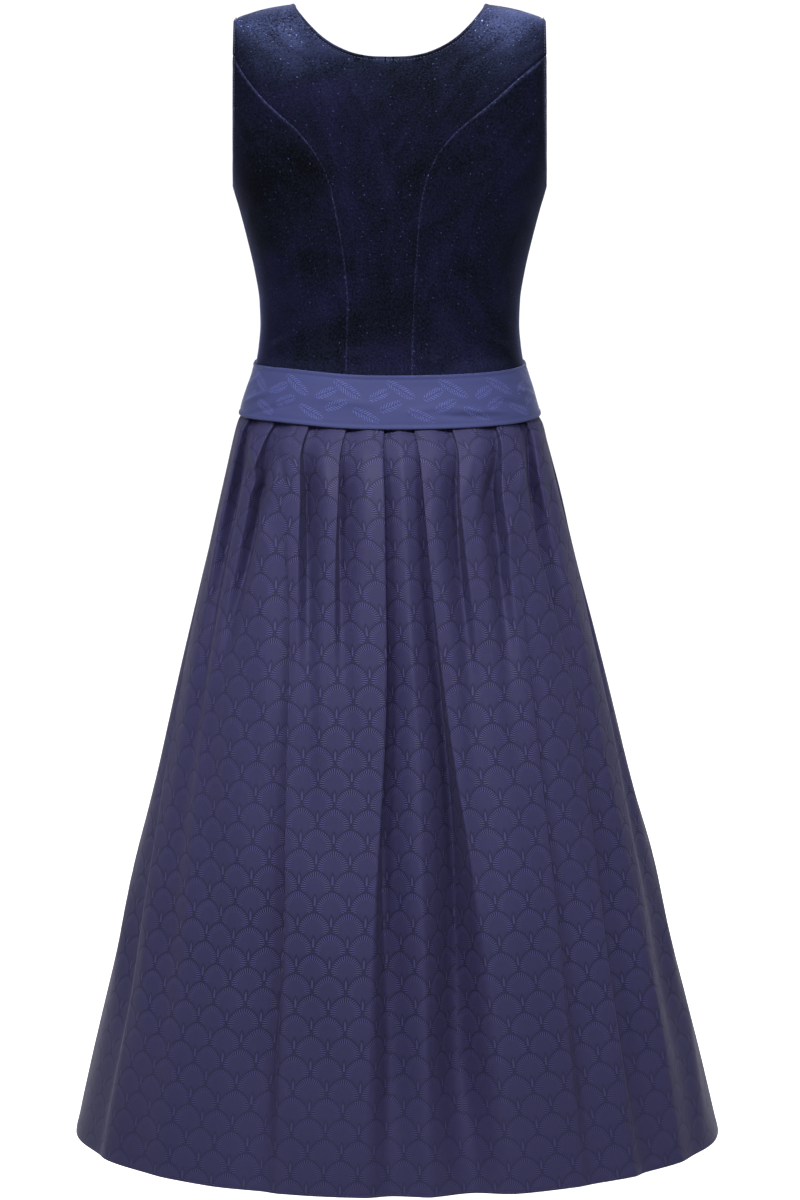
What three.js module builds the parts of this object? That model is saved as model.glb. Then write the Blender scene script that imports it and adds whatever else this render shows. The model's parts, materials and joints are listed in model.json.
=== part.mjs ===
// A dirndl as worn, with nobody in it: a sleeveless velvet bodice cut in seven panels with princess seams,
// a sash round the waist and a long pleated skirt of two widths. Millimetres, +Z up. The back of the garment
// faces -Y, and the front, whose two edges meet down the middle, faces +Y. The origin lies between the two
// neck points, where the wearer's shoulders carry the garment.

import * as THREE from "three";

// Thickness of each cloth, and the space between two pieces that are sewn together.
const VELVET = 2.0;
const SASH_CLOTH = 1.6;
const SKIRT_CLOTH = 1.4;
const SEAM_GAP = 0.3;

// Heights that the pieces share. The waist seam is under the sash.
const SHOULDER_TIP = -16.5;
const UNDERARM = -187;
const WAIST_SEAM = -401;
const HEM = -1198;

// Sections through the bodice: half the width, and the reach to the back and to the front of the side seams.
// Above the underarm they follow the shoulder inside the armhole.
const TORSO = [
  { z: 0, half: 97.5, back: 33, front: 33 },
  { z: -5, half: 127, back: 50, front: 50 },
  { z: SHOULDER_TIP, half: 160, back: 66, front: 66 },
  { z: -42, half: 168, back: 83, front: 84 },
  { z: -78, half: 172, back: 95, front: 103 },
  { z: -118, half: 171, back: 102, front: 119 },
  { z: -155, half: 168, back: 104, front: 128 },
  { z: UNDERARM, half: 162, back: 103, front: 131 },
  { z: -211, half: 155.2, back: 101, front: 130 },
  { z: -243, half: 147, back: 98, front: 124 },
  { z: -274, half: 140, back: 94, front: 115 },
  { z: -305, half: 135.2, back: 92, front: 107 },
  { z: -330, half: 134.4, back: 92, front: 104 },
  { z: -352, half: 136.2, back: 94.5, front: 103.5 },
  { z: -371, half: 139.2, back: 98.5, front: 105 },
  { z: WAIST_SEAM, half: 147, back: 105.5, front: 110 },
];
const TORSO_SQUARENESS = 2.25;
const BUST = { rise: 15, apart: 80, spread: 50, z: -222, tall: 50 };

// The necklines, from the middle of the garment to the neck point.
const BACK_NECK = [
  { out: 0, z: -47.5 },
  { out: 16, z: -47.2 },
  { out: 34, z: -44.5 },
  { out: 52, z: -38 },
  { out: 68, z: -28.5 },
  { out: 81, z: -17 },
  { out: 91, z: -6.5 },
  { out: 97.5, z: 0 },
];
const FRONT_NECK = [
  { out: 0, z: -158 },
  { out: 24, z: -155.5 },
  { out: 46, z: -147 },
  { out: 65, z: -129 },
  { out: 79, z: -102 },
  { out: 88, z: -70 },
  { out: 93.5, z: -36 },
  { out: 96.5, z: -12 },
  { out: 97.5, z: 0 },
];

// The armhole's edges: distance from the middle of the garment at each height.
const BACK_ARMHOLE = [
  { z: SHOULDER_TIP, out: 160 },
  { z: -60, out: 160.4 },
  { z: -110, out: 160.7 },
  { z: -150, out: 161 },
  { z: UNDERARM, out: 162 },
];
const FRONT_ARMHOLE = [
  { z: SHOULDER_TIP, out: 160 },
  { z: -48, out: 153 },
  { z: -92, out: 149.5 },
  { z: -140, out: 152.5 },
  { z: -172, out: 158.5 },
  { z: UNDERARM, out: 162 },
];

// The princess seams, from the armhole to the waist: distance from the middle. The garment sits a little
// turned on the figure, so both back seams drift to one side.
const BACK_PRINCESS = [
  { z: -50, out: 160.3, drift: 0 },
  { z: -72, out: 138, drift: -8 },
  { z: -93, out: 116, drift: -11 },
  { z: -106, out: 100, drift: -12 },
  { z: -118, out: 85, drift: -12.5 },
  { z: -133, out: 70.5, drift: -13 },
  { z: -150, out: 59, drift: -13 },
  { z: -170, out: 50, drift: -12.5 },
  { z: -200, out: 43.5, drift: -12 },
  { z: -243, out: 38, drift: -10 },
  { z: -294, out: 34, drift: -9 },
  { z: -346, out: 33.5, drift: -10.5 },
  { z: WAIST_SEAM, out: 34.5, drift: -11 },
];
const FRONT_PRINCESS = [
  { z: -92, out: 149.5, drift: 0 },
  { z: -128, out: 119, drift: 0 },
  { z: -172, out: 96, drift: 0 },
  { z: -222, out: 83, drift: 0 },
  { z: -280, out: 71, drift: 0 },
  { z: -340, out: 62, drift: 0 },
  { z: WAIST_SEAM, out: 60, drift: 0 },
];

// The sash lies over the waist seam. Its ends are at the front, and the outer end laps over the inner one.
const SASH = [
  { z: -370.5, half: 141.2, back: 100.5, front: 107 },
  { z: -384, half: 145, back: 103.5, front: 109.5 },
  { z: -397, half: 149.4, back: 107, front: 112.5 },
  { z: -410, half: 153.4, back: 110, front: 115.5 },
  { z: -423.5, half: 157.4, back: 113.5, front: 119 },
];
const SASH_START = -184;
const SASH_END = 192;
const SASH_LAP = { rise: 2.2, from: 140, to: 172 };

// The skirt's outline over the crests of its pleats. Below the sash the pleats spring out over the hips.
const SKIRT = [
  { z: WAIST_SEAM - SEAM_GAP, half: 146.6, back: 105.2, front: 109.7, square: 2.25 },
  { z: -412, half: 149.8, back: 107.2, front: 112.4, square: 2.25 },
  { z: -424.5, half: 154.2, back: 110.6, front: 116, square: 2.24 },
  { z: -434, half: 159.5, back: 120, front: 123, square: 2.2 },
  { z: -450, half: 163.8, back: 134, front: 133, square: 2.15 },
  { z: -476, half: 170, back: 147, front: 143, square: 2.1 },
  { z: -515, half: 179.5, back: 158.5, front: 152.5, square: 2.06 },
  { z: -570, half: 192.8, back: 169, front: 161.5, square: 2.06 },
  { z: -645, half: 211, back: 180.5, front: 171, square: 2.06 },
  { z: -745, half: 235.2, back: 194.5, front: 184.5, square: 2.06 },
  { z: -870, half: 265.6, back: 210, front: 200.5, square: 2.06 },
  { z: -1025, half: 302.7, back: 228, front: 220.5, square: 2.06 },
  { z: HEM, half: 344.4, back: 248, front: 242, square: 2.06 },
];
const HEM_DRIFT = 7.7;

// The pleats, in order round the skirt from the left side seam over the back to the front: the angle of each
// valley at five heights. Angle 0 is the middle of the back, 90 the right side and 180 the front.
const PLEAT_HEIGHTS = { sash: -425, yoke: -500, knee: -700, shin: -950, hem: HEM };
const PLEAT_ANGLES = [
  { sash: -102, yoke: -102, knee: -101, shin: -101, hem: -100 },
  { sash: -87, yoke: -84, knee: -80, shin: -77, hem: -76 },
  { sash: -69, yoke: -68.5, knee: -66.5, shin: -62, hem: -60 },
  { sash: -53, yoke: -53.5, knee: -57, shin: -51, hem: -49 },
  { sash: -44.5, yoke: -42, knee: -37, shin: -36.5, hem: -36 },
  { sash: -36, yoke: -30, knee: -26, shin: -25, hem: -25 },
  { sash: -18, yoke: -15, knee: -14.5, shin: -14, hem: -14 },
  { sash: 1, yoke: 2.5, knee: 3.5, shin: 2.8, hem: 1.5 },
  { sash: 9, yoke: 8.4, knee: 11, shin: 14, hem: 18 },
  { sash: 27.5, yoke: 22, knee: 25, shin: 27, hem: 29 },
  { sash: 48, yoke: 39.5, knee: 37.5, shin: 38, hem: 39 },
  { sash: 57, yoke: 50, knee: 49, shin: 50.5, hem: 49.5 },
  { sash: 65.5, yoke: 61.5, knee: 65.5, shin: 64, hem: 62 },
  { sash: 84, yoke: 80, knee: 77, shin: 76, hem: 72 },
  { sash: 102, yoke: 101, knee: 100, shin: 98, hem: 96 },
  { sash: 118, yoke: 117, knee: 116, shin: 114, hem: 112 },
  { sash: 133, yoke: 132, knee: 131, shin: 128, hem: 126 },
  { sash: 147, yoke: 146, knee: 145, shin: 142, hem: 141 },
  { sash: 160, yoke: 159, knee: 158, shin: 156, hem: 154 },
  { sash: 173, yoke: 172, knee: 172, shin: 171, hem: 170 },
  { sash: 187, yoke: 188, knee: 188, shin: 189, hem: 190 },
  { sash: 200, yoke: 201, knee: 202, shin: 203, hem: 205 },
  { sash: 213, yoke: 215, knee: 217, shin: 219, hem: 221 },
  { sash: 228, yoke: 230, knee: 232, shin: 234, hem: 236 },
  { sash: 243, yoke: 244.5, knee: 246, shin: 247.5, hem: 249 },
];

// The same valleys' depths, the side that each laps under at the top and lower down (1 the side of smaller
// angles, -1 the other), and half their width in degrees at the sash and at the hem.
const PLEAT_FORMS = [
  { yoke: 14, knee: 10, shin: 9, hem: 8, lapHigh: 1, lapLow: 0, high: 4.7, low: 5 },
  { yoke: 13, knee: 12, shin: 8, hem: 6, lapHigh: 1, lapLow: -1, high: 4.7, low: 5 },
  { yoke: 15, knee: 5, shin: 4, hem: 4, lapHigh: 1, lapLow: 0, high: 4.7, low: 5 },
  { yoke: 20, knee: 2, shin: 3, hem: 2, lapHigh: 1, lapLow: 0, high: 4.7, low: 5 },
  { yoke: 0, knee: 5, shin: 11, hem: 8, lapHigh: 0, lapLow: -1, high: 3.5, low: 6 },
  { yoke: 22, knee: 5, shin: 0, hem: 0, lapHigh: 1, lapLow: 0, high: 4.7, low: 4.5 },
  { yoke: 21, knee: 3, shin: 0, hem: 0, lapHigh: 1, lapLow: 0, high: 4.7, low: 5 },
  { yoke: 21, knee: 23, shin: 16, hem: 7, lapHigh: 1, lapLow: 1, high: 4.2, low: 4.5 },
  { yoke: 20, knee: 24, shin: 33, hem: 14, lapHigh: -1, lapLow: -1, high: 4.2, low: 6 },
  { yoke: 21, knee: 5, shin: 1, hem: 0, lapHigh: -1, lapLow: 0, high: 4.7, low: 5 },
  { yoke: 22, knee: 3, shin: 0, hem: 0, lapHigh: -1, lapLow: 0, high: 4.7, low: 5 },
  { yoke: 0, knee: 5, shin: 8, hem: 6, lapHigh: 0, lapLow: 1, high: 3.5, low: 5.5 },
  { yoke: 18, knee: 24, shin: 14, hem: 8, lapHigh: -1, lapLow: 1, high: 4.7, low: 5 },
  { yoke: 13, knee: 9, shin: 8, hem: 6, lapHigh: -1, lapLow: 0, high: 4.7, low: 5 },
  { yoke: 14, knee: 10, shin: 9, hem: 8, lapHigh: 1, lapLow: 0, high: 4.7, low: 5 },
  { yoke: 20, knee: 9, shin: 3, hem: 2, lapHigh: 1, lapLow: 0, high: 4.7, low: 5 },
  { yoke: 21, knee: 20, shin: 14, hem: 9, lapHigh: 1, lapLow: 0, high: 4.7, low: 5.5 },
  { yoke: 20, knee: 5, shin: 2, hem: 0, lapHigh: 1, lapLow: 0, high: 4.7, low: 5 },
  { yoke: 22, knee: 22, shin: 16, hem: 10, lapHigh: 1, lapLow: 1, high: 4.7, low: 5.5 },
  { yoke: 19, knee: 8, shin: 4, hem: 2, lapHigh: 1, lapLow: 0, high: 4.7, low: 5 },
  { yoke: 20, knee: 20, shin: 14, hem: 9, lapHigh: -1, lapLow: 0, high: 4.7, low: 5.5 },
  { yoke: 21, knee: 6, shin: 2, hem: 0, lapHigh: -1, lapLow: 0, high: 4.7, low: 5 },
  { yoke: 21, knee: 22, shin: 15, hem: 10, lapHigh: -1, lapLow: -1, high: 4.7, low: 5.5 },
  { yoke: 21, knee: 6, shin: 3, hem: 2, lapHigh: -1, lapLow: 0, high: 4.7, low: 5 },
  { yoke: 20, knee: 15, shin: 11, hem: 8, lapHigh: -1, lapLow: 0, high: 4.7, low: 5 },
];
const PLEAT_DEPTH = { seam: 2.6, sash: 5.5 };
const LAP = [
  { z: WAIST_SEAM, shift: 1.5 },
  { z: -425, shift: 3.5 },
  { z: -450, shift: 8 },
  { z: -500, shift: 12 },
  { z: -620, shift: 10 },
  { z: -800, shift: 9 },
  { z: HEM, shift: 3 },
];

// The two side seams of the skirt lie in the valleys of these pleats.
const LEFT_SEAM_PLEAT = 0;
const RIGHT_SEAM_PLEAT = 14;

// How finely each piece is divided.
const PRINCESS_ROWS = 12;
const CENTRE_COLUMNS = 7;
const SIDE_COLUMNS = 7;
const BACK_NECK_ROWS = 5;
const BACK_STRAP_ROWS = 5;
const FRONT_NECK_ROWS = 7;
const FRONT_STRAP_ROWS = 4;
const SASH_COLUMNS = 76;
const PLEAT_PLACES = [-1, -0.58, -0.22, 0.22, 0.58, 1];
const SEAM_PLACES = [0, 0.3, 0.62, 1];

const COLOURS = { velvet: 0x1c2038, sash: 0x4a5286, skirt: 0x40405f };

const RADIANS = Math.PI / 180;

function mix(a, b, share) {
  return a + (b - a) * share;
}

// Evenly spaced shares from 0 to 1.
function shares(count) {
  return Array.from({ length: count + 1 }, (_, i) => i / count);
}

// A smooth curve through one column of a table, over another column, with no overshoot between rows.
function curveOf(table, key, column) {
  const rows = [...table].sort((a, b) => a[key] - b[key]);
  const x = rows.map((row) => row[key]);
  const y = rows.map((row) => row[column]);
  const slopes = x.slice(1).map((next, i) => (y[i + 1] - y[i]) / (next - x[i]));
  const tangents = x.map((_, i) => {
    const before = slopes[Math.max(i - 1, 0)];
    const after = slopes[Math.min(i, slopes.length - 1)];
    return before * after <= 0 ? 0 : (2 * before * after) / (before + after);
  });
  return (at) => {
    const place = THREE.MathUtils.clamp(at, x[0], x[x.length - 1]);
    const i = Math.max(x.findIndex((value) => value >= place) - 1, 0);
    const step = x[i + 1] - x[i];
    const t = (place - x[i]) / step;
    const eased = t * t * (3 - 2 * t);
    const bend = tangents[i] * t * (1 - t) ** 2 - tangents[i + 1] * t * t * (1 - t);
    return mix(y[i], y[i + 1], eased) + step * bend;
  };
}

// The ring that a table of sections gives at a place along one of its columns.
function ringsOf(table, key) {
  const names = Object.keys(table[0]);
  const curves = names.map((name) => [name, curveOf(table, key, name)]);
  return (at) => Object.fromEntries(curves.map(([name, curve]) => [name, curve(at)]));
}

// The place between low and high where a rising function reaches zero.
function rootOf(rising, low, high) {
  let below = low;
  let above = high;
  for (let i = 0; i < 40; i += 1) {
    const middle = (below + above) / 2;
    if (rising(middle) < 0) below = middle;
    else above = middle;
  }
  return (below + above) / 2;
}

// A point on a rounded ring at an angle round it.
function ringPoint(ring, angle, squareness) {
  const sine = Math.sin(angle * RADIANS);
  const cosine = Math.cos(angle * RADIANS);
  const depth = cosine > 0 ? ring.back : ring.front;
  const across = Math.abs(sine / ring.half) ** squareness;
  const along = Math.abs(cosine / depth) ** squareness;
  const reach = (across + along) ** (-1 / squareness);
  return new THREE.Vector3(reach * sine, -reach * cosine, ring.z);
}

// The normal of a surface given as a function of an angle and a second place that runs downwards.
function outwardNormal(surface, angle, down, stepAngle, stepDown) {
  const across = surface(angle + stepAngle, down).sub(surface(angle - stepAngle, down));
  const along = surface(angle, down + stepDown).sub(surface(angle, down - stepDown));
  return along.cross(across).normalize();
}

// A closed wall of cloth. Each patch is a grid of places, as rows of columns, and a place has a point on the
// outer face and one on the inner face. Patches that share points are one sheet, closed along its rim.
function wallGeometry(patches) {
  const numbers = new Map();
  const places = [];
  const numberOf = (place) => {
    const key = place.outer.toArray().map((value) => value.toFixed(5)).join();
    if (!numbers.has(key)) {
      numbers.set(key, places.length);
      places.push(place);
    }
    return numbers.get(key);
  };
  const sheet = patches.flatMap((grid) => {
    const index = grid.map((row) => row.map(numberOf));
    const cells = index.slice(1).map((upper, i) =>
      upper.slice(1).flatMap((corner, j) => [
        [index[i][j], index[i][j + 1], corner],
        [index[i][j], corner, upper[j]],
      ]),
    );
    return cells.flat();
  });
  const edges = sheet.flatMap(([a, b, c]) => [[a, b], [b, c], [c, a]]);
  const known = new Set(edges.map((edge) => edge.join()));
  const rim = edges.filter(([a, b]) => !known.has(`${b},${a}`));
  const count = places.length;
  const faces = [
    ...sheet,
    ...sheet.map(([a, b, c]) => [a + count, c + count, b + count]),
    ...rim.flatMap(([a, b]) => [[b, a, a + count], [b, a + count, b + count]]),
  ].flat();
  const positions = [...places.map(({ outer }) => outer), ...places.map(({ inner }) => inner)]
    .flatMap((point) => point.toArray());
  const geometry = new THREE.BufferGeometry();
  geometry.setAttribute("position", new THREE.Float32BufferAttribute(positions, 3));
  geometry.setIndex(facingOut(positions, faces));
  geometry.computeVertexNormals();
  return geometry;
}

// The faces as they are, or turned round if they enclose a negative volume.
function facingOut(positions, faces) {
  const corner = (i) => new THREE.Vector3().fromArray(positions, 3 * faces[i]);
  let volume = 0;
  for (let i = 0; i < faces.length; i += 3) {
    volume += corner(i).dot(corner(i + 1).cross(corner(i + 2)));
  }
  if (volume < 0) {
    for (let i = 0; i < faces.length; i += 3) {
      [faces[i + 1], faces[i + 2]] = [faces[i + 2], faces[i + 1]];
    }
  }
  return faces;
}

function materialOf(colour, roughness) {
  return new THREE.MeshStandardMaterial({ color: colour, roughness, metalness: 0 });
}

const MATERIALS = {
  velvet: materialOf(COLOURS.velvet, 0.95),
  sash: materialOf(COLOURS.sash, 0.6),
  skirt: materialOf(COLOURS.skirt, 0.65),
};

function piece(name, geometry, material) {
  const mesh = new THREE.Mesh(geometry, material);
  mesh.name = name;
  return mesh;
}

// The edges of a grid, each with the line of points beside it.
const GRID_EDGES = {
  left: (grid) => [grid.map((row) => row[0]), grid.map((row) => row[1])],
  right: (grid) => [grid.map((row) => row.at(-1)), grid.map((row) => row.at(-2))],
  top: (grid) => [grid.at(-1), grid.at(-2)],
};

// A patch of cloth from its outer points and their normals. Its sewn edges are drawn back by their share of
// the seam's gap.
function patchOf(points, normals, thickness, sewn) {
  sewn.forEach((edge) => {
    const [line, beside] = GRID_EDGES[edge](points);
    const steps = line.map((point, i) => beside[i].clone().sub(point).setLength(SEAM_GAP * 0.62));
    line.forEach((point, i) => point.add(steps[i]));
  });
  return points.map((row, i) =>
    row.map((outer, j) => ({ outer, inner: outer.clone().addScaledVector(normals[i][j], -thickness) })),
  );
}

// The bodice's surface is found by an angle round the figure and a level, which counts the rows of TORSO.
const torsoRing = ringsOf(TORSO.map((row, level) => ({ ...row, level })), "level");
const LOWEST_LEVEL = TORSO.length - 1;

function torsoPoint(angle, level) {
  const point = ringPoint(torsoRing(level), angle, TORSO_SQUARENESS);
  if (point.y > 0) {
    const beside = (Math.abs(point.x) - BUST.apart) / BUST.spread;
    const above = (point.z - BUST.z) / BUST.tall;
    const forward = THREE.MathUtils.smoothstep(point.y, 0, 90);
    point.y += BUST.rise * forward * Math.exp(-beside * beside - above * above);
  }
  return point;
}

function levelAt(z) {
  return rootOf((level) => z - torsoRing(level).z, 0, LOWEST_LEVEL);
}

// The angle round the bodice of a point at a level, from its distance from the middle. Angles run from the
// middle of the back, and those of a left front panel run down from -90 to -180.
function angleOf(side, hand, x, level) {
  const reach = Math.abs(x);
  if (side === "back") {
    return Math.sign(x) * rootOf((angle) => torsoPoint(angle, level).x - reach, 0, 90);
  }
  return hand * rootOf((angle) => reach - torsoPoint(angle, level).x, 90, 180);
}

function placeOn(side, hand, x, z) {
  const level = levelAt(z);
  return { angle: angleOf(side, hand, x, level), level };
}

// A line of the bodice that a table gives by height. hand is 1 for the right and -1 for the left.
function lineDown(side, hand, table, from, to, count) {
  const out = curveOf(table, "z", "out");
  const drift = "drift" in table[0] ? curveOf(table, "z", "drift") : () => 0;
  const levels = [levelAt(from), levelAt(to)];
  return shares(count).map((share) => {
    const { z } = torsoRing(mix(...levels, share));
    return placeOn(side, hand, hand * out(z) + drift(z), z);
  });
}

// A neckline from the middle of the garment to the neck point.
function neckline(side, hand, table) {
  const rows = table.map((row, place) => ({ ...row, place }));
  const out = curveOf(rows, "place", "out");
  const down = curveOf(rows, "place", "z");
  const line = shares(90).map((share) => {
    const place = share * (table.length - 1);
    return placeOn(side, hand, hand * out(place), down(place));
  });
  line[line.length - 1] = { angle: hand * 90, level: 0 };
  return line;
}

// A line along a side of the figure, between two heights: the shoulder seam or the side seam.
function sideLine(hand, from, to, count) {
  const levels = [levelAt(from), levelAt(to)];
  return shares(count).map((share) => ({ angle: hand * 90, level: mix(...levels, share) }));
}

function joined(...lines) {
  return lines.flatMap((line, i) => (i === 0 ? line : line.slice(1)));
}

// The points of a line at even steps along it.
function evenly(line, count) {
  const points = line.map(({ angle, level }) => torsoPoint(angle, level));
  const lengths = [0];
  points.slice(1).forEach((point, i) => lengths.push(lengths[i] + point.distanceTo(points[i])));
  return shares(count).map((share) => {
    const length = share * lengths.at(-1);
    const next = Math.max(lengths.findIndex((value) => value >= length - 1e-9), 1);
    const t = (length - lengths[next - 1]) / (lengths[next] - lengths[next - 1]);
    const angle = mix(line[next - 1].angle, line[next].angle, t);
    return { angle, level: mix(line[next - 1].level, line[next].level, t) };
  });
}

function bodicePatch(places, sewn) {
  const points = places.map((row) => row.map(({ angle, level }) => torsoPoint(angle, level)));
  const normals = places.map((row) =>
    row.map(({ angle, level }) => {
      const within = THREE.MathUtils.clamp(level, 0.05, LOWEST_LEVEL - 0.05);
      return outwardNormal(torsoPoint, angle, within, 0.1, 0.02);
    }),
  );
  normals[0].forEach((normal) => normal.setZ(0).normalize());
  return patchOf(points, normals, VELVET, sewn);
}

// Half of a centre panel: straight rows from the middle and the neckline to the princess seam and armhole,
// up to the shoulder seam.
function centrePatch(side, hand, { neck, neckRows, princess, armhole, armholeRows, sewn }) {
  const middleAngle = side === "back" ? 0 : hand * 180;
  const middleRows = PRINCESS_ROWS + armholeRows - neckRows;
  const levels = [LOWEST_LEVEL, levelAt(neck[0].z)];
  const middle = shares(middleRows).map((share) => ({ angle: middleAngle, level: mix(...levels, share) }));
  const inner = joined(middle, evenly(neckline(side, hand, neck), neckRows));
  const outer = joined(
    lineDown(side, hand, princess, WAIST_SEAM, princess[0].z, PRINCESS_ROWS),
    lineDown(side, hand, armhole, princess[0].z, SHOULDER_TIP, armholeRows),
  );
  const shoulder = sideLine(hand, 0, SHOULDER_TIP, CENTRE_COLUMNS);
  const rows = inner.slice(0, -1).map((start, row) => {
    const end = outer[row];
    const from = torsoPoint(start.angle, start.level).x;
    const to = torsoPoint(end.angle, end.level).x;
    return shares(CENTRE_COLUMNS).map((share) => {
      if (share === 0) return start;
      if (share === 1) return end;
      const level = mix(start.level, end.level, share);
      return { angle: angleOf(side, hand, mix(from, to, share), level), level };
    });
  });
  return bodicePatch([...rows, shoulder], sewn);
}

// A side panel: rows from the princess seam to the side seam, bent towards the top to the armhole's line.
function sidePatch(side, hand, princess, armhole) {
  const seam = lineDown(side, hand, princess, WAIST_SEAM, princess[0].z, PRINCESS_ROWS);
  const under = sideLine(hand, WAIST_SEAM, UNDERARM, PRINCESS_ROWS);
  const top = evenly(lineDown(side, hand, armhole, princess[0].z, UNDERARM, 60), SIDE_COLUMNS);
  const middle = side === "back" ? 0 : hand * 180;
  const across = ({ angle, level }) => ((angle - middle) / 90) * torsoRing(level).half;
  const places = seam.map((start, row) => {
    const end = under[row];
    const t = row / PRINCESS_ROWS;
    return shares(SIDE_COLUMNS).map((share, column) => {
      const isEdge = share === 0 || share === 1 || t === 1;
      if (isEdge) return share === 0 ? start : share === 1 ? end : top[column];
      const bend = (value) => value(top[column]) - mix(value(top[0]), value(top.at(-1)), share);
      const level = mix(start.level, end.level, share) + t * bend((place) => place.level);
      const reach = mix(across(start), across(end), share) + t * bend(across);
      return { angle: middle + (reach * 90) / torsoRing(level).half, level };
    });
  });
  return bodicePatch(places, ["left", "right"]);
}

function velvetPiece(name, patches) {
  return piece(name, wallGeometry(patches), MATERIALS.velvet);
}

const BACK_EDGES = {
  neck: BACK_NECK,
  neckRows: BACK_NECK_ROWS,
  princess: BACK_PRINCESS,
  armhole: BACK_ARMHOLE,
  armholeRows: BACK_STRAP_ROWS,
  sewn: ["right", "top"],
};
const FRONT_EDGES = {
  neck: FRONT_NECK,
  neckRows: FRONT_NECK_ROWS,
  princess: FRONT_PRINCESS,
  armhole: FRONT_ARMHOLE,
  armholeRows: FRONT_STRAP_ROWS,
  sewn: ["left", "right", "top"],
};

// The sash: one strip round the waist, whose last stretch lifts and laps over its first.
const sashRing = ringsOf(SASH, "z");

function sashPoint(angle, z) {
  const ring = sashRing(z);
  const lift = SASH_LAP.rise * THREE.MathUtils.smoothstep(angle, SASH_LAP.from, SASH_LAP.to);
  const lifted = { z, half: ring.half + lift, back: ring.back + lift, front: ring.front + lift };
  return ringPoint(lifted, angle, TORSO_SQUARENESS);
}

function sash() {
  const angles = shares(SASH_COLUMNS).map((share) => mix(SASH_START, SASH_END, share));
  const heights = SASH.map((row) => row.z);
  const points = heights.map((z) => angles.map((angle) => sashPoint(angle, z)));
  const normals = heights.map((z) => {
    const within = THREE.MathUtils.clamp(z, heights.at(-1) + 1, heights[0] - 1);
    return angles.map((angle) => outwardNormal(sashPoint, angle, within, 0.1, -0.5).setZ(0).normalize());
  });
  return piece("sash", wallGeometry([patchOf(points, normals, SASH_CLOTH, [])]), MATERIALS.sash);
}

// The skirt. Each pleat is a valley in the outline, and its lap slants the valley under the fold beside it.
const skirtRing = ringsOf(SKIRT, "z");
const lapShift = curveOf(LAP, "z", "shift");

// A curve down the skirt through one value at each of the named heights.
function curveDown(values) {
  const heights = { seam: SKIRT[0].z, ...PLEAT_HEIGHTS };
  const rows = Object.keys(values).map((name) => ({ z: heights[name], value: values[name] }));
  return curveOf(rows, "z", "value");
}

const pleats = PLEAT_ANGLES.map((angles, i) => {
  const { yoke, knee, shin, hem, lapHigh, lapLow, high, low } = PLEAT_FORMS[i];
  const share = Math.min(1, yoke / 10);
  const start = { seam: PLEAT_DEPTH.seam * share, sash: PLEAT_DEPTH.sash * share };
  return {
    angle: curveDown(angles),
    depth: curveDown({ ...start, yoke, knee, shin, hem }),
    lap: curveDown({ yoke: lapHigh, knee: lapLow }),
    half: curveDown({ sash: high, hem: low }),
  };
});

function skirtPoint(angle, z) {
  const ring = skirtRing(z);
  let depth = 0;
  let shift = 0;
  pleats.forEach((pleat) => {
    const away = THREE.MathUtils.euclideanModulo(angle - pleat.angle(z) + 180, 360) - 180;
    const place = away / pleat.half(z);
    if (Math.abs(place) < 1) {
      const bell = (1 + Math.cos(Math.PI * place)) / 2;
      depth += pleat.depth(z) * bell;
      shift -= pleat.lap(z) * lapShift(z) * bell;
    }
  });
  const around = (ring.half + (Math.cos(angle * RADIANS) > 0 ? ring.back : ring.front)) / 2;
  const point = ringPoint({ ...ring, z }, angle + shift / around / RADIANS, ring.square);
  const inward = new THREE.Vector3(-point.x, -point.y, 0).setLength(depth);
  const drift = HEM_DRIFT * THREE.MathUtils.clamp((-450 - z) / (-450 - HEM), 0, 1);
  return point.add(inward).add(new THREE.Vector3(drift, 0, 0));
}

// The angles of the skirt's columns at one height, from one seam's pleat to the next. Each valley has its own
// columns, which keep to its half of the space between two valleys, and each crest has one.
function skirtColumns(first, last, z) {
  const count = pleats.length;
  const valleys = Array.from({ length: last - first + 1 }, (_, i) => {
    const turns = Math.floor((first + i) / count);
    const pleat = pleats[(first + i) % count];
    return { angle: pleat.angle(z) + 360 * turns, half: pleat.half(z) };
  });
  const reach = (i, next) => {
    const space = Math.abs(valleys[next].angle - valleys[i].angle);
    return Math.min(valleys[i].half, 0.46 * space);
  };
  return valleys.flatMap(({ angle }, i) => {
    const isFirst = i === 0;
    const isLast = i === valleys.length - 1;
    const before = isFirst ? 0 : reach(i, i - 1);
    const after = isLast ? 0 : reach(i, i + 1);
    const lastPlaces = SEAM_PLACES.map((place) => -place).reverse();
    const places = isFirst ? SEAM_PLACES : isLast ? lastPlaces : PLEAT_PLACES;
    const columns = places.map((place) => angle + place * (place < 0 ? before : after));
    const crest = isLast ? [] : [(angle + after + valleys[i + 1].angle - reach(i + 1, i)) / 2];
    return [...columns, ...crest];
  });
}

function skirtWidth(name, first, last) {
  const heights = SKIRT.map((row) => row.z);
  const angles = heights.map((z) => skirtColumns(first, last, z));
  const points = heights.map((z, i) => angles[i].map((angle) => skirtPoint(angle, z)));
  const normals = heights.map((z, i) => {
    const within = THREE.MathUtils.clamp(z, HEM + 1, heights[0] - 1);
    const isEdge = i === 0 || i === heights.length - 1;
    return angles[i].map((angle) => {
      const normal = outwardNormal(skirtPoint, angle, within, 0.1, -0.5);
      return isEdge ? normal.setZ(0).normalize() : normal;
    });
  });
  const patch = patchOf(points, normals, SKIRT_CLOTH, ["left", "right"]);
  return piece(name, wallGeometry([patch]), MATERIALS.skirt);
}

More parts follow.
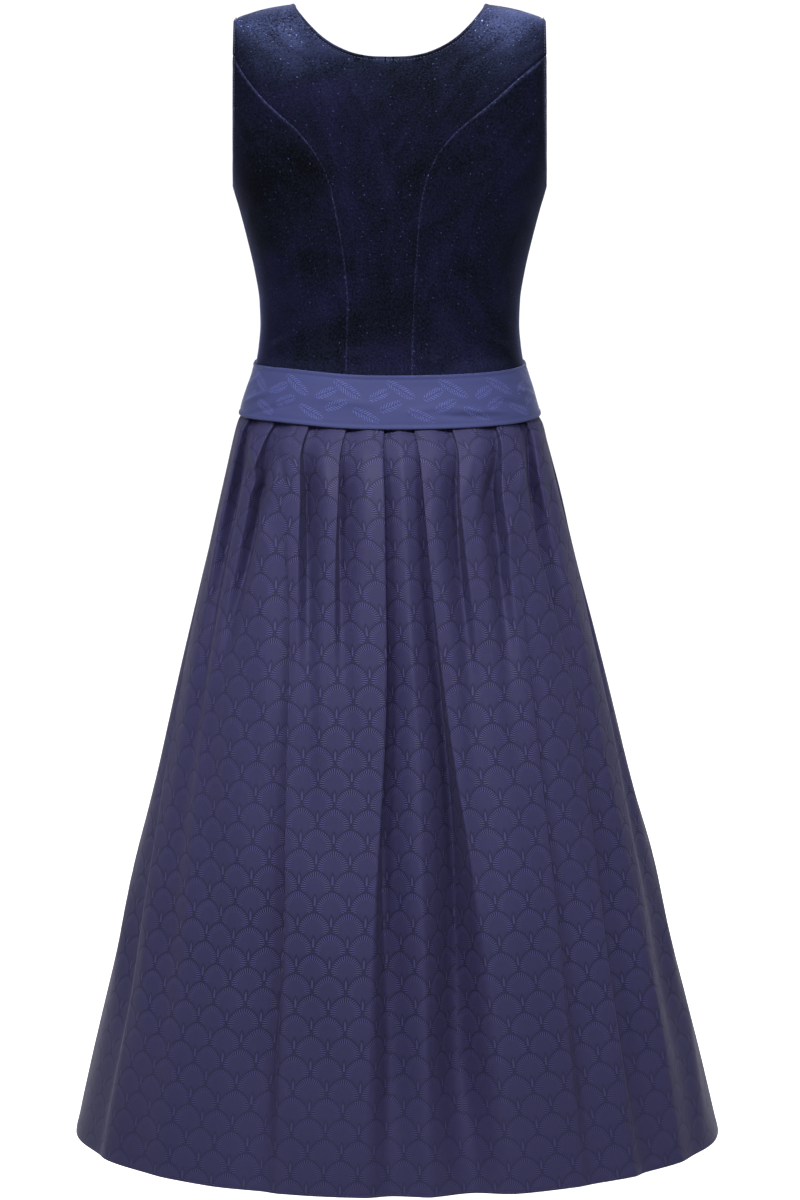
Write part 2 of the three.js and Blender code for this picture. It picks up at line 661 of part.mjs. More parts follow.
const dirndl = new THREE.Group();
dirndl.add(velvetPiece("bodice_centre_back", [
  centrePatch("back", -1, BACK_EDGES),
  centrePatch("back", 1, BACK_EDGES).map((row) => row.reverse()),
]));
dirndl.add(velvetPiece("bodice_side_back_left", [sidePatch("back", -1, BACK_PRINCESS, BACK_ARMHOLE)]));
dirndl.add(velvetPiece("bodice_side_back_right", [sidePatch("back", 1, BACK_PRINCESS, BACK_ARMHOLE)]));
dirndl.add(velvetPiece("bodice_side_front_left", [sidePatch("front", -1, FRONT_PRINCESS, FRONT_ARMHOLE)]));
dirndl.add(velvetPiece("bodice_side_front_right", [sidePatch("front", 1, FRONT_PRINCESS, FRONT_ARMHOLE)]));
dirndl.add(velvetPiece("bodice_centre_front_left", [centrePatch("front", -1, FRONT_EDGES)]));
dirndl.add(velvetPiece("bodice_centre_front_right", [centrePatch("front", 1, FRONT_EDGES)]));
dirndl.add(sash());
dirndl.add(skirtWidth("skirt_back", LEFT_SEAM_PLEAT, RIGHT_SEAM_PLEAT));
dirndl.add(skirtWidth("skirt_front", RIGHT_SEAM_PLEAT, LEFT_SEAM_PLEAT + PLEAT_ANGLES.length));

export default dirndl;
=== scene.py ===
# The dirndl's looks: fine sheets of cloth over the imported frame, with velvet, woven sash and fan jacquard.
# Lengths are in millimetres in the tables and in metres in Blender. Angles run round the figure in degrees:
# 0 is the middle of the back, 90 the right side and 180 the front.

import json
import math

import bpy
import numpy as np
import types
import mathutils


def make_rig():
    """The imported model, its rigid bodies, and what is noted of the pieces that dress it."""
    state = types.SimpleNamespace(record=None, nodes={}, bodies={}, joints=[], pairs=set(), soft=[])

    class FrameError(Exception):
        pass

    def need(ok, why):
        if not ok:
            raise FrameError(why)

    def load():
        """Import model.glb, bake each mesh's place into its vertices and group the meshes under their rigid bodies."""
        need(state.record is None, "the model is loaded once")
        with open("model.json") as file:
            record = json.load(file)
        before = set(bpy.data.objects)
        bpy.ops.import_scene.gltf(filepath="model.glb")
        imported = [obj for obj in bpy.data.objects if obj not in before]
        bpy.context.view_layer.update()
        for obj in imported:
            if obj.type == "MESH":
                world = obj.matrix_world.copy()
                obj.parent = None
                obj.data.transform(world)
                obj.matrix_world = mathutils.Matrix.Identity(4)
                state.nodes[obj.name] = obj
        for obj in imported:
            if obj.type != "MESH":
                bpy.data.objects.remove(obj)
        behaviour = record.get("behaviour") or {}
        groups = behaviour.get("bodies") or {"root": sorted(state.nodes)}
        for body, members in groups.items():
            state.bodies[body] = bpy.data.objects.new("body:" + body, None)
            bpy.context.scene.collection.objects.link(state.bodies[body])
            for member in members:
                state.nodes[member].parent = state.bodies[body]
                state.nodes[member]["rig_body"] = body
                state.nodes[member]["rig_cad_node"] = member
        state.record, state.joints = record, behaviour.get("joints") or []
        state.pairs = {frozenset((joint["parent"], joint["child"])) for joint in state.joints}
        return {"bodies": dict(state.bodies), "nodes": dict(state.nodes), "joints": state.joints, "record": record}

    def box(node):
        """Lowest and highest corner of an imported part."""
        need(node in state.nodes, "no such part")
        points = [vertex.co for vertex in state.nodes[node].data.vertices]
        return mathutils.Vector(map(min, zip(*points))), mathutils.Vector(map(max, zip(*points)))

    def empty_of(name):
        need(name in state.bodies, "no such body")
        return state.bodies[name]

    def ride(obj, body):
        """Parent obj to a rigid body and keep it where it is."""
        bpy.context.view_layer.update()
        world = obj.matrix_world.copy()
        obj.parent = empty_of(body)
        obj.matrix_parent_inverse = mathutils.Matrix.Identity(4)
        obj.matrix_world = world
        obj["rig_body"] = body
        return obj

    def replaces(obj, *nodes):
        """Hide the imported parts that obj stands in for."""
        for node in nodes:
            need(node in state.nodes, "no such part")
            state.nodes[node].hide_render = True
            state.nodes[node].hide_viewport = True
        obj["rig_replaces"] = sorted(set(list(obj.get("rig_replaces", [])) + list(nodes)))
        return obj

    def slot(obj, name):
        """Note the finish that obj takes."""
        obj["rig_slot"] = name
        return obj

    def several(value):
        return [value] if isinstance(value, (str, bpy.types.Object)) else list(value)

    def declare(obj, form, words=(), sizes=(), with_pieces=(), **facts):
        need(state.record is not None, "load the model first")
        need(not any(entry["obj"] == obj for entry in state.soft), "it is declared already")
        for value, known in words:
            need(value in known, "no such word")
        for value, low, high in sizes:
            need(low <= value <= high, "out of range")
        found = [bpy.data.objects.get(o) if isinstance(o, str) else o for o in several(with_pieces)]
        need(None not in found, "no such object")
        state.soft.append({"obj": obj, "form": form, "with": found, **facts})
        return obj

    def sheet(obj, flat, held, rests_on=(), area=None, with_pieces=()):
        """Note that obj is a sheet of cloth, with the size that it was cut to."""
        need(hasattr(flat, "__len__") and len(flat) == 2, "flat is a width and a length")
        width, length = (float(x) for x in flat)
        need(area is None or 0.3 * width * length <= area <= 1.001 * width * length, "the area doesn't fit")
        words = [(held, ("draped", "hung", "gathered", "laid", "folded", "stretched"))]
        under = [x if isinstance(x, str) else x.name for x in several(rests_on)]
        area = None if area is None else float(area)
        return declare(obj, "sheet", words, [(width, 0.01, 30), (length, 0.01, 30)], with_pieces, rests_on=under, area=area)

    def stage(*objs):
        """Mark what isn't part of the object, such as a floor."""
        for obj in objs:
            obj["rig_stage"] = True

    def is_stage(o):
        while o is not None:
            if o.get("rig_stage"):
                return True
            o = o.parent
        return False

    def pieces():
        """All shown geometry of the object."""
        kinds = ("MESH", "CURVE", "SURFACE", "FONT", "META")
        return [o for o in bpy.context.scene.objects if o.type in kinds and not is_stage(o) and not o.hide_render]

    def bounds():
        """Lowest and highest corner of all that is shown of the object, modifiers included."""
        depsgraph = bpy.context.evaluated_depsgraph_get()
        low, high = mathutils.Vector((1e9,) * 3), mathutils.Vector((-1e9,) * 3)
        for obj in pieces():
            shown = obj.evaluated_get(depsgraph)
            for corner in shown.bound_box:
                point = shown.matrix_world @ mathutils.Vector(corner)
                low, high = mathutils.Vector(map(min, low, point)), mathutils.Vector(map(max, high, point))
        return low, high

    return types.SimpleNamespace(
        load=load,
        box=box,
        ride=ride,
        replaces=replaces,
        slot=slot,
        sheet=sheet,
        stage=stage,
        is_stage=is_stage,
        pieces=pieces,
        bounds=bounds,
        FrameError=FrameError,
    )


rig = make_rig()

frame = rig.load()
cad_low, cad_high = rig.bounds()

# The garment's tables, as in the part, but that seven of the pleats differ in their depths, widths or angles.

VELVET = 2.0
SASH_CLOTH = 1.6
SKIRT_CLOTH = 1.4
SEAM_GAP = 0.3
SHOULDER_TIP = -16.5
UNDERARM = -187.0
WAIST_SEAM = -401.0
HEM = -1198.0
SQUARENESS = 2.25
BUST = {"rise": 15, "apart": 80, "spread": 50, "z": -222, "tall": 50, "front": 90}

# z, half the width, reach to the back, reach to the front
TORSO = np.array([
    (0, 97.5, 33, 33),
    (-5, 127, 50, 50),
    (SHOULDER_TIP, 160, 66, 66),
    (-42, 168, 83, 84),
    (-78, 172, 95, 103),
    (-118, 171, 102, 119),
    (-155, 168, 104, 128),
    (UNDERARM, 162, 103, 131),
    (-211, 155.2, 101, 130),
    (-243, 147, 98, 124),
    (-274, 140, 94, 115),
    (-305, 135.2, 92, 107),
    (-330, 134.4, 92, 104),
    (-352, 136.2, 94.5, 103.5),
    (-371, 139.2, 98.5, 105),
    (WAIST_SEAM, 147, 105.5, 110),
])
# distance from the middle, z
BACK_NECK = [(0, -47.5), (16, -47.2), (34, -44.5), (52, -38), (68, -28.5), (81, -17), (91, -6.5), (97.5, 0)]
FRONT_NECK = [(0, -158), (24, -155.5), (46, -147), (65, -129), (79, -102), (88, -70), (93.5, -36),
              (96.5, -12), (97.5, 0)]
# z, distance from the middle, drift to the right
BACK_ARMHOLE = [(SHOULDER_TIP, 160, 0), (-60, 160.4, 0), (-110, 160.7, 0), (-150, 161, 0), (UNDERARM, 162, 0)]
FRONT_ARMHOLE = [(SHOULDER_TIP, 160, 0), (-48, 153, 0), (-92, 149.5, 0), (-140, 152.5, 0), (-172, 158.5, 0),
                 (UNDERARM, 162, 0)]
BACK_PRINCESS = [(-50, 160.3, 0), (-72, 138, -8), (-93, 116, -11), (-106, 100, -12), (-118, 85, -12.5),
                 (-133, 70.5, -13), (-150, 59, -13), (-170, 50, -12.5), (-200, 43.5, -12), (-243, 38, -10),
                 (-294, 34, -9), (-346, 33.5, -10.5), (WAIST_SEAM, 34.5, -11)]
FRONT_PRINCESS = [(-92, 149.5, 0), (-128, 119, 0), (-172, 96, 0), (-222, 83, 0), (-280, 71, 0), (-340, 62, 0),
                  (WAIST_SEAM, 60, 0)]
# z, half the width, reach to the back, reach to the front
SASH = np.array([
    (-370.5, 141.2, 100.5, 107),
    (-384, 145, 103.5, 109.5),
    (-397, 149.4, 107, 112.5),
    (-410, 153.4, 110, 115.5),
    (-423.5, 157.4, 113.5, 119),
])
SASH_START, SASH_END = -184.0, 192.0
SASH_LAP = {"rise": 2.2, "from": 140, "to": 172}
# it sits a little higher on the left of the back
SASH_LIFT = {"rise": 3.4, "angle": -54, "width": 24}
# z, half the width, reach to the back, reach to the front, squareness
SKIRT = np.array([
    (WAIST_SEAM - SEAM_GAP, 146.6, 105.2, 109.7, 2.25),
    (-412, 149.8, 107.2, 112.4, 2.25),
    (-424.5, 154.2, 110.6, 116, 2.24),
    (-434, 159.5, 120, 123, 2.2),
    (-450, 163.8, 134, 133, 2.15),
    (-476, 170, 147, 143, 2.1),
    (-515, 179.5, 158.5, 152.5, 2.06),
    (-570, 192.8, 169, 161.5, 2.06),
    (-645, 211, 180.5, 171, 2.06),
    (-745, 235.2, 194.5, 184.5, 2.06),
    (-870, 265.6, 210, 200.5, 2.06),
    (-1025, 302.7, 228, 220.5, 2.06),
    (HEM, 344.4, 248, 242, 2.06),
])
# how far the hem hangs to the right, and the height where that begins
HEM_DRIFT, DRIFT_TOP = 7.7, -450
SEAM, SASH_EDGE, YOKE, KNEE, SHIN = SKIRT[0, 0], -425, -500, -700, -950
# the valley's angle at the sash, yoke, knee, shin and hem; its depth at the yoke, knee, shin and hem; the
# side that it laps under at the top and lower down; half its width in degrees at the sash and at the hem,
# where it isn't the usual one
PLEATS = [
    (-102, -102, -101, -101, -100, 14, 10, 9, 8, 1, 0),
    (-93, -91, -85, -79, -76, 4, 6, 8, 6, 1, -1, 4.2, 5),
    (-69, -68.5, -66.5, -62, -60, 15, 5, 4, 4, 1, 0),
    (-53, -53.5, -57, -51, -49, 20, 2, 3, 2, 1, 0),
    (-44.5, -42, -37, -36.5, -36, 0, 15, 18, 13, 0, -1, 3.5, 6),
    (-36, -30, -26, -25, -25, 22, 5, 0, 0, 1, 0, 4.7, 4.5),
    (-18, -15, -14.5, -14, -14, 21, 3, 0, 0, 1, 0),
    (1, 2.5, 3.5, 2.8, 2.2, 21, 24, 28, 24, 1, 1, 4.2, 7),
    (9, 8.4, 11, 14, 15.5, 20, 26, 44, 40, -1, -1, 4.2, 8.5),
    (27.5, 22, 25, 27, 29, 21, 5, 1, 0, -1, 0),
    (48, 39.5, 37.5, 38, 39, 22, 3, 0, 0, -1, 0),
    (57, 50, 49, 50.5, 49.5, 0, 5, 11, 9, 0, 1, 3.5, 5.5),
    (65.5, 61.5, 65.5, 64, 62, 18, 28, 24, 14, -1, 1, 4.7, 5.5),
    (93, 90, 84, 78, 73, 4, 5, 7, 6, -1, 0, 4.2, 5),
    (102, 101, 100, 98, 96, 14, 10, 9, 8, 1, 0),
    (118, 117, 116, 114, 112, 20, 9, 3, 2, 1, 0),
    (133, 132, 131, 128, 126, 21, 20, 14, 9, 1, 0, 4.7, 5.5),
    (147, 146, 145, 142, 141, 20, 5, 2, 0, 1, 0),
    (160, 159, 158, 156, 154, 22, 22, 16, 10, 1, 1, 4.7, 5.5),
    (173, 172, 172, 171, 170, 19, 8, 4, 2, 1, 0),
    (187, 188, 188, 189, 190, 20, 20, 14, 9, -1, 0, 4.7, 5.5),
    (200, 201, 202, 203, 205, 21, 6, 2, 0, -1, 0),
    (213, 215, 217, 219, 221, 21, 22, 15, 10, -1, -1, 4.7, 5.5),
    (228, 230, 232, 234, 236, 21, 6, 3, 2, -1, 0),
    (243, 244.5, 246, 247.5, 249, 20, 15, 11, 8, -1, 0),
]
USUAL_HALVES = (4.7, 5)
# the valleys' depths at the seam and the sash, for pleats that are FULL_PLEAT deep at the yoke
TOP_DEPTHS, FULL_PLEAT = (2.6, 5.5), 10
# z, how far a fold leans over the valley beside it
LAP = [(WAIST_SEAM, 1.5), (-425, 3.5), (-450, 8), (-500, 12), (-620, 10), (-800, 9), (HEM, 3)]
LEFT_SEAM_PLEAT, RIGHT_SEAM_PLEAT = 0, 14
# The valleys in which the fans of one panel of cloth end and those of the next begin.
PATTERN_BREAKS = (1, 4, 7, 8, 12, 16, 18, 20, 22)

# Soft creases that the cloth has besides its pleats: angle, z, half its length, half its width, height, and
# how far it leans from upright in degrees (positive: the top leans to the right)
SKIRT_CREASES = [
    (-62, -452, 26, 6, 2.6, -38), (-57, -486, 30, 7, -2.4, -42), (-50, -520, 34, 8, 2.4, -35),
    (-46, -462, 22, 5, -2, -30), (-26, -470, 26, 6, 1.6, -24), (-9, -520, 46, 9, 1.4, -8),
    (18, -470, 24, 6, -1.6, 20), (33, -462, 24, 6, 2.4, 26), (38, -498, 30, 7, -2.4, 30),
    (44, -532, 34, 8, 2.2, 26), (57, -470, 24, 6, 2, 34), (70, -520, 40, 8, -1.8, 16),
    (-73, -560, 60, 10, 1.8, -8), (-20, -640, 90, 14, -1.2, -7), (27, -690, 90, 13, -1.4, 7),
    (34, -860, 120, 18, 1.3, 9), (-9, -860, 130, 18, -1, -3), (-20, -930, 110, 16, 1, -9),
    (-44, -800, 120, 16, 1.2, -14), (-66, -1010, 110, 16, 1.4, -16), (50, -1060, 90, 14, -1.2, 12),
    (6.5, -850, 120, 9, 2.2, 2), (87, -940, 110, 12, 2, 18), (80, -1120, 90, 12, 2, 18),
    (-84, -970, 110, 12, 1.6, -18), (124, -560, 60, 9, 1.8, 10), (166, -540, 60, 9, -1.6, 5),
    (196, -620, 80, 12, 1.6, -5), (222, -560, 60, 9, -1.8, -9), (238, -820, 110, 15, 1.4, -14),
    (139, -860, 120, 16, 1.4, 12),
]
SASH_CREASES = [
    (-70, -402, 26, 3, 2.4, 70), (-60, -412, 24, 2.6, -1.7, 74), (-78, -388, 18, 2.6, 1.5, 60),
    (38, -413, 24, 2.2, -2.2, 96), (46, -408, 26, 2.6, 2.5, 98), (64, -404, 22, 2.6, -1.7, 104),
    (74, -396, 20, 2.6, 1.9, 110), (20, -404, 30, 3.4, 0.8, 84), (-24, -398, 34, 3.4, 0.8, 92),
    (130, -398, 26, 3, 1.5, 80), (-130, -402, 26, 3, 1.5, 98),
]
BODICE_CREASES = [
    (-22, -352, 16, 5, 0.7, 80), (24, -356, 18, 5, 0.7, 96), (-60, -340, 26, 6, 1, 64),
    (62, -344, 26, 6, 1, 116), (-70, -205, 26, 7, 0.9, 40), (70, -208, 26, 7, 0.9, 140),
    (-12, -60, 40, 9, 0.5, 90), (-40, -60, 30, 8, 0.5, 60),
]

# Curves, rings and surfaces


def curve_of(x, y):
    """A smooth curve through the points of a table, with no overshoot between its rows."""
    order = np.argsort(x)
    x, y = np.asarray(x, float)[order], np.asarray(y, float)[order]
    slopes = np.diff(y) / np.diff(x)
    before = np.concatenate([slopes[:1], slopes])
    after = np.concatenate([slopes, slopes[-1:]])
    product, total = before * after, before + after
    tangents = np.where(product <= 0, 0.0, 2 * product / np.where(total == 0, 1, total))

    def at(place):
        place = np.clip(place, x[0], x[-1])
        i = np.clip(np.searchsorted(x, place, "left") - 1, 0, len(x) - 2)
        step = x[i + 1] - x[i]
        t = (place - x[i]) / step
        eased = t * t * (3 - 2 * t)
        bend = tangents[i] * t * (1 - t) ** 2 - tangents[i + 1] * t * t * (1 - t)
        return y[i] + (y[i + 1] - y[i]) * eased + step * bend

    return at


def bell(value, middle, width):
    return np.exp(-(((value - middle) / width) ** 2))


def unit(vectors, least=0.0):
    """Vectors made one long. least keeps one of no length from dividing by zero."""
    return vectors / (np.linalg.norm(vectors, axis=-1, keepdims=True) + least)


def smoothstep(value, low, high):
    t = np.clip((value - low) / (high - low), 0, 1)
    return t * t * (3 - 2 * t)


def root_of(rising, shape, low, high):
    """Where a rising function of an array reaches zero, between two values."""
    below, above = np.full(shape, float(low)), np.full(shape, float(high))
    for _ in range(36):
        middle = (below + above) / 2
        under = rising(middle) < 0
        below = np.where(under, middle, below)
        above = np.where(under, above, middle)
    return (below + above) / 2


def ring_point(curves, place, angle, z, squareness=SQUARENESS, lift=0):
    """A point of the ring whose half width and reaches to the back and front are curves at a place."""
    half, back, front = [curve(place) + lift for curve in curves]
    sine, cosine = np.sin(np.radians(angle)), np.cos(np.radians(angle))
    depth = np.where(cosine > 0, back, front)
    reach = (np.abs(sine / half) ** squareness + np.abs(cosine / depth) ** squareness) ** (-1 / squareness)
    return np.stack(np.broadcast_arrays(reach * sine, -reach * cosine, z), -1)


# the bodice's rows are told apart by level: the place of a ring in its table
torso_z, *torso_reach = [curve_of(np.arange(len(TORSO)), column) for column in TORSO.T]
LOWEST_LEVEL = len(TORSO) - 1.0


def torso_point(angle, level):
    point = ring_point(torso_reach, level, angle, torso_z(level))
    beside = (np.abs(point[..., 0]) - BUST["apart"]) / BUST["spread"]
    above = (point[..., 2] - BUST["z"]) / BUST["tall"]
    bump = BUST["rise"] * smoothstep(point[..., 1], 0, BUST["front"]) * np.exp(-(beside**2) - above**2)
    point[..., 1] += np.where(point[..., 1] > 0, bump, 0)
    return point


def level_at(z):
    z = np.atleast_1d(np.asarray(z, float))
    return root_of(lambda level: z - torso_z(level), z.shape, 0, LOWEST_LEVEL)


def angle_of(side, hand, x, level):
    """The angle on the bodice, at a level, of a point at a distance from the middle."""
    x, level = np.broadcast_arrays(x, level)

    def past(angle):
        return torso_point(angle, level)[..., 0] - np.abs(x)

    if side == "back":
        return np.sign(x) * root_of(past, x.shape, 0, 90)
    return hand * root_of(lambda angle: -past(angle), x.shape, 90, 180)


def levels_down(top, bottom, count):
    ends = level_at([top, bottom])
    return ends[0] + (ends[1] - ends[0]) * np.linspace(0, 1, count + 1)


def line_down(side, hand, table, top, bottom, count):
    """Angles and levels along a line that a table gives by height, from one height to another."""
    z, out, drift = zip(*table)
    height = torso_z(levels_down(top, bottom, count))
    level = level_at(height)
    x = hand * curve_of(z, out)(height) + curve_of(z, drift)(height)
    return np.stack([angle_of(side, hand, x, level), level], -1)


def lengths_along(points, axis=0):
    step = np.linalg.norm(np.diff(points, axis=axis), axis=-1)
    start = np.zeros_like(np.take(step, [0], axis=axis))
    return np.concatenate([start, np.cumsum(step, axis=axis)], axis=axis)


def on_torso(line):
    return torso_point(line[:, 0], line[:, 1])


def at_lengths(places, lengths, rows):
    """Rows between those of a table, at some places, when its own rows' places are given."""
    return np.stack([np.interp(places, lengths, column) for column in rows.T], -1)


def at_shares(line, shares):
    """The angles and levels at some shares of the length of a line on the bodice."""
    lengths = lengths_along(on_torso(line))
    return at_lengths(shares * lengths[-1], lengths, line)


def neckline(side, hand, table, count):
    out, down = [curve_of(np.arange(len(table)), column) for column in zip(*table)]
    at = np.linspace(0, len(table) - 1, 181)
    level = level_at(down(at))
    line = np.stack([angle_of(side, hand, hand * out(at), level), level], -1)
    line[-1] = (hand * 90, 0)
    return at_shares(line, np.linspace(0, 1, count + 1))


def normals_of(surface, angle, down, step_angle, step_down):
    across = surface(angle + step_angle, down) - surface(angle - step_angle, down)
    along = surface(angle, down + step_down) - surface(angle, down - step_down)
    return unit(np.cross(along, across))


def torso_normals(angle, level):
    return normals_of(torso_point, angle, np.clip(level, 0.05, LOWEST_LEVEL - 0.05), 0.1, 0.02)


def levelled(normals, ends):
    """Normals that are made level at the ends of a sheet, so that its rims stay in a plane."""
    normals[ends, 2] = 0
    return unit(normals)


def creased(angle, z, around, table):
    """The height over the surface of the creases in a table, at places given by angle and z."""
    height = np.zeros(np.broadcast(angle, z).shape)
    for at, middle, long, wide, rise, lean in table:
        away = (angle - at + 180) % 360 - 180
        across = np.radians(away) * around
        up = z - middle
        c, s = math.cos(math.radians(lean)), math.sin(math.radians(lean))
        along, beside = up * c + across * s, across * c - up * s
        height += rise * np.exp(-((beside / wide) ** 2) - (along / long) ** 4)
    return height


# Sheets of cloth


# how far a rim's middle stands out, as a share of the cloth's thickness
RIM_SWELL = 0.3


class Sheet:
    """A piece of cloth with both faces and a rounded rim, made of grids of points that share their edges."""

    def __init__(self, name, thickness):
        self.name, self.thickness = name, thickness
        self.outer, self.inner, self.cells, self.marks, self.seams = [], [], [], [], []
        self.count = 0

    def grid(self, outer, inner, left, right, up, seam=None):
        """A grid of outer and inner points in rows and columns. left and right say how far across the cloth
        each cell's sides are, so that the pattern may break between two columns, and up says how far up."""
        rows, columns = outer.shape[:2]
        index = self.count + np.arange(rows * columns).reshape(rows, columns)
        self.outer.append(outer.reshape(-1, 3))
        self.inner.append(inner.reshape(-1, 3))
        self.seams.append(np.zeros(rows * columns) if seam is None else seam.ravel())
        self.count += rows * columns
        corners = index[:-1, :-1], index[:-1, 1:], index[1:, 1:], index[1:, :-1]
        self.cells.append(np.stack(corners, -1).reshape(-1, 4))
        left, right = [np.stack(uv, -1) / 1000 for uv in ((left, up[:, :-1]), (right, up[:, 1:]))]
        uv = np.stack([left[:-1], right[:-1], right[1:], left[1:]], -2)
        self.marks.append(uv.reshape(-1, 4, 2))

    def build(self, materials, slot, inside=0):
        outer, inner = np.concatenate(self.outer), np.concatenate(self.inner)
        cells, marks = np.concatenate(self.cells), np.concatenate(self.marks)
        _, first, back = np.unique(np.round(outer, 4), axis=0, return_index=True, return_inverse=True)
        outer, inner, cells = outer[first], inner[first], back.reshape(-1)[cells]
        seams = np.concatenate(self.seams)[first]
        solid = np.array([len(set(cell)) == 4 for cell in cells])
        cells, marks = cells[solid], marks[solid]
        through = outer - inner
        if np.median((face_normals(outer, cells) * through[cells[:, 0]]).sum(axis=1)) < 0:
            cells, marks = cells[:, ::-1], marks[:, ::-1]
        count = len(outer)
        edges, edge_uv = [np.concatenate([table[:, [i, (i + 1) % 4]] for i in range(4)])
                          for table in (cells, marks)]
        codes = edges[:, 0] * count + edges[:, 1]
        rim = ~np.isin(codes, edges[:, 1] * count + edges[:, 0])
        rim_edges, rim_uv = edges[rim], edge_uv[rim]
        # a rounded rim: one line of points half way through the cloth, which stands out a little
        rim_points = np.unique(rim_edges)
        place = np.full(count, -1)
        place[rim_points] = np.arange(len(rim_points))
        out = np.zeros((count, 3))
        tangent = outer[rim_edges[:, 1]] - outer[rim_edges[:, 0]]
        away = unit(np.cross(tangent, through[rim_edges[:, 0]]), 1e-9)
        np.add.at(out, rim_edges[:, 0], away)
        np.add.at(out, rim_edges[:, 1], away)
        out = unit(out, 1e-9)
        middle = (outer + inner)[rim_points] / 2 + out[rim_points] * self.thickness * RIM_SWELL
        turned, between = rim_edges[:, ::-1], place[rim_edges] + 2 * count
        faces = np.concatenate([
            cells,
            cells[:, ::-1] + count,
            np.concatenate([turned, between], 1),
            np.concatenate([between[:, ::-1], rim_edges + count], 1),
        ])
        rim_marks = np.concatenate([rim_uv[:, ::-1], rim_uv], 1)
        uv = np.concatenate([marks, marks[:, ::-1], rim_marks, rim_marks])
        points = np.concatenate([outer, inner, middle]) / 1000
        obj = mesh_object(self.name, points, faces, uv)
        mark = obj.data.attributes.new("seam", "FLOAT", "POINT")
        seams = np.concatenate([seams, seams * 0, seams[rim_points]])
        mark.data.foreach_set("value", seams.astype(np.float32))
        for material in materials:
            obj.data.materials.append(material)
        which = np.zeros(len(faces), np.int32)
        which[len(cells):2 * len(cells)] = inside
        obj.data.polygons.foreach_set("material_index", which)
        obj["area"] = float(np.linalg.norm(face_normals(outer / 1000, cells) / 2, axis=-1).sum())
        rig.slot(obj, slot)
        return obj


def face_normals(points, cells):
    """The normals of four-sided faces, each as long as twice its face's area."""
    return np.cross(points[cells[:, 2]] - points[cells[:, 0]], points[cells[:, 3]] - points[cells[:, 1]])


def linked(name, data):
    obj = bpy.data.objects.new(name, data)
    bpy.context.scene.collection.objects.link(obj)
    return obj


def mesh_object(name, points, faces, uv=None):
    """An object of four-sided faces."""
    mesh = bpy.data.meshes.new(name)
    mesh.vertices.add(len(points))
    mesh.vertices.foreach_set("co", np.asarray(points, np.float32).ravel())
    mesh.loops.add(faces.size)
    mesh.loops.foreach_set("vertex_index", faces.astype(np.int32).ravel())
    mesh.polygons.add(len(faces))
    mesh.polygons.foreach_set("loop_start", np.arange(0, faces.size, 4, dtype=np.int32))
    mesh.polygons.foreach_set("loop_total", np.full(len(faces), 4, np.int32))
    if uv is not None:
        layer = mesh.uv_layers.new(name="UVMap")
        layer.data.foreach_set("uv", np.asarray(uv, np.float32).ravel())
    mesh.update(calc_edges=True)
    mesh.validate()
    mesh.polygons.foreach_set("use_smooth", np.ones(len(mesh.polygons), bool))
    return linked(name, mesh)


# The bodice

# the share across a panel of its columns: close together along the edges, where the cloth rolls
EDGE_SHARES = np.array([0, 0.006, 0.014, 0.024, 0.036, 0.052, 0.074, 0.104, 0.145])
SHARES = np.concatenate([EDGE_SHARES, np.linspace(0.2, 0.8, 19), 1 - EDGE_SHARES[::-1]])
PRINCESS_ROWS, ARMHOLE_ROWS, ROW_SCALE = 72, 240, 6
# the radii by which the creases' angles become widths, and half the width of a pressed seam line
BODICE_RADIUS, SASH_RADIUS, SEAM_LINE = 140, 130, 0.7
# how far in degrees a last row stays from the shoulder seam, the share of a seam's gap that an edge gives
# up, and the step between the points from which distances are measured
SHOULDER_GAP, GAP_SHARE, DENSE_STEP = 0.15, 0.62, 1.2
# height, distance and width of the ridges and troughs that run beside a seam and beside a turned edge
SEAM_RIDGES = [(-0.45, 0, 1.1), (0.12, 4, 3)]
EDGE_RIDGES = [(0.55, 1.2, 1.4), (-0.5, 3.6, 0.9), (-0.5, 0, 0.7)]
SASH_RIDGES = [(0.45, 1.4, 1.3), (-0.35, 4.2, 1.0)]
stitch_lines = {"neck": [], "armhole": []}


def edge_distance(points, lines):
    """The distance of each point from the nearest of some lines of points."""
    parts = np.array_split(points.reshape(-1, 3), points.size // 12000 + 1)
    best = np.inf
    for line in lines:
        dense = []
        for a, b in zip(line[:-1], line[1:]):
            n = max(1, int(np.linalg.norm(b - a) / DENSE_STEP))
            dense.append(a + (b - a) * np.arange(n)[:, None] / n)
        dense = np.concatenate(dense + [line[-1:]])
        near = [((part[:, None, :] - dense) ** 2).sum(-1).min(1) for part in parts]
        best = np.minimum(best, np.concatenate(near))
    return np.sqrt(best).reshape(points.shape[:-1])


def ridged(distance, ridges):
    return sum(rise * bell(distance, middle, width) for rise, middle, width in ridges)


def bodice_grid(sheet, angle, level, seams, edges):
    points = torso_point(angle, level)
    normals = levelled(torso_normals(angle, level), level > LOWEST_LEVEL - 1e-6)
    seam = edge_distance(points, seams)
    free = edge_distance(points, edges)
    height = ridged(seam, SEAM_RIDGES) + ridged(free, EDGE_RIDGES)
    height += creased(angle, points[..., 2], BODICE_RADIUS, BODICE_CREASES) * smoothstep(free, 2, 14)
    outer = points + normals * height[..., None]
    inner = points - normals * VELVET
    u = lengths_along(points, 1)
    u -= u[:, [u.shape[1] // 2]]
    v = lengths_along(points)
    v = v.mean(axis=1, keepdims=True) + np.zeros_like(v)
    sheet.grid(outer, inner, u[:, :-1], u[:, 1:], v, bell(seam, 0, SEAM_LINE))


def drawn_back(shares, low, high, width=60.0):
    """Column shares with the sewn ends drawn back a little, so that two panels stay clear of each other."""
    inset = SEAM_GAP * GAP_SHARE / width
    return np.clip(shares, inset if low else 0, 1 - inset if high else 1)


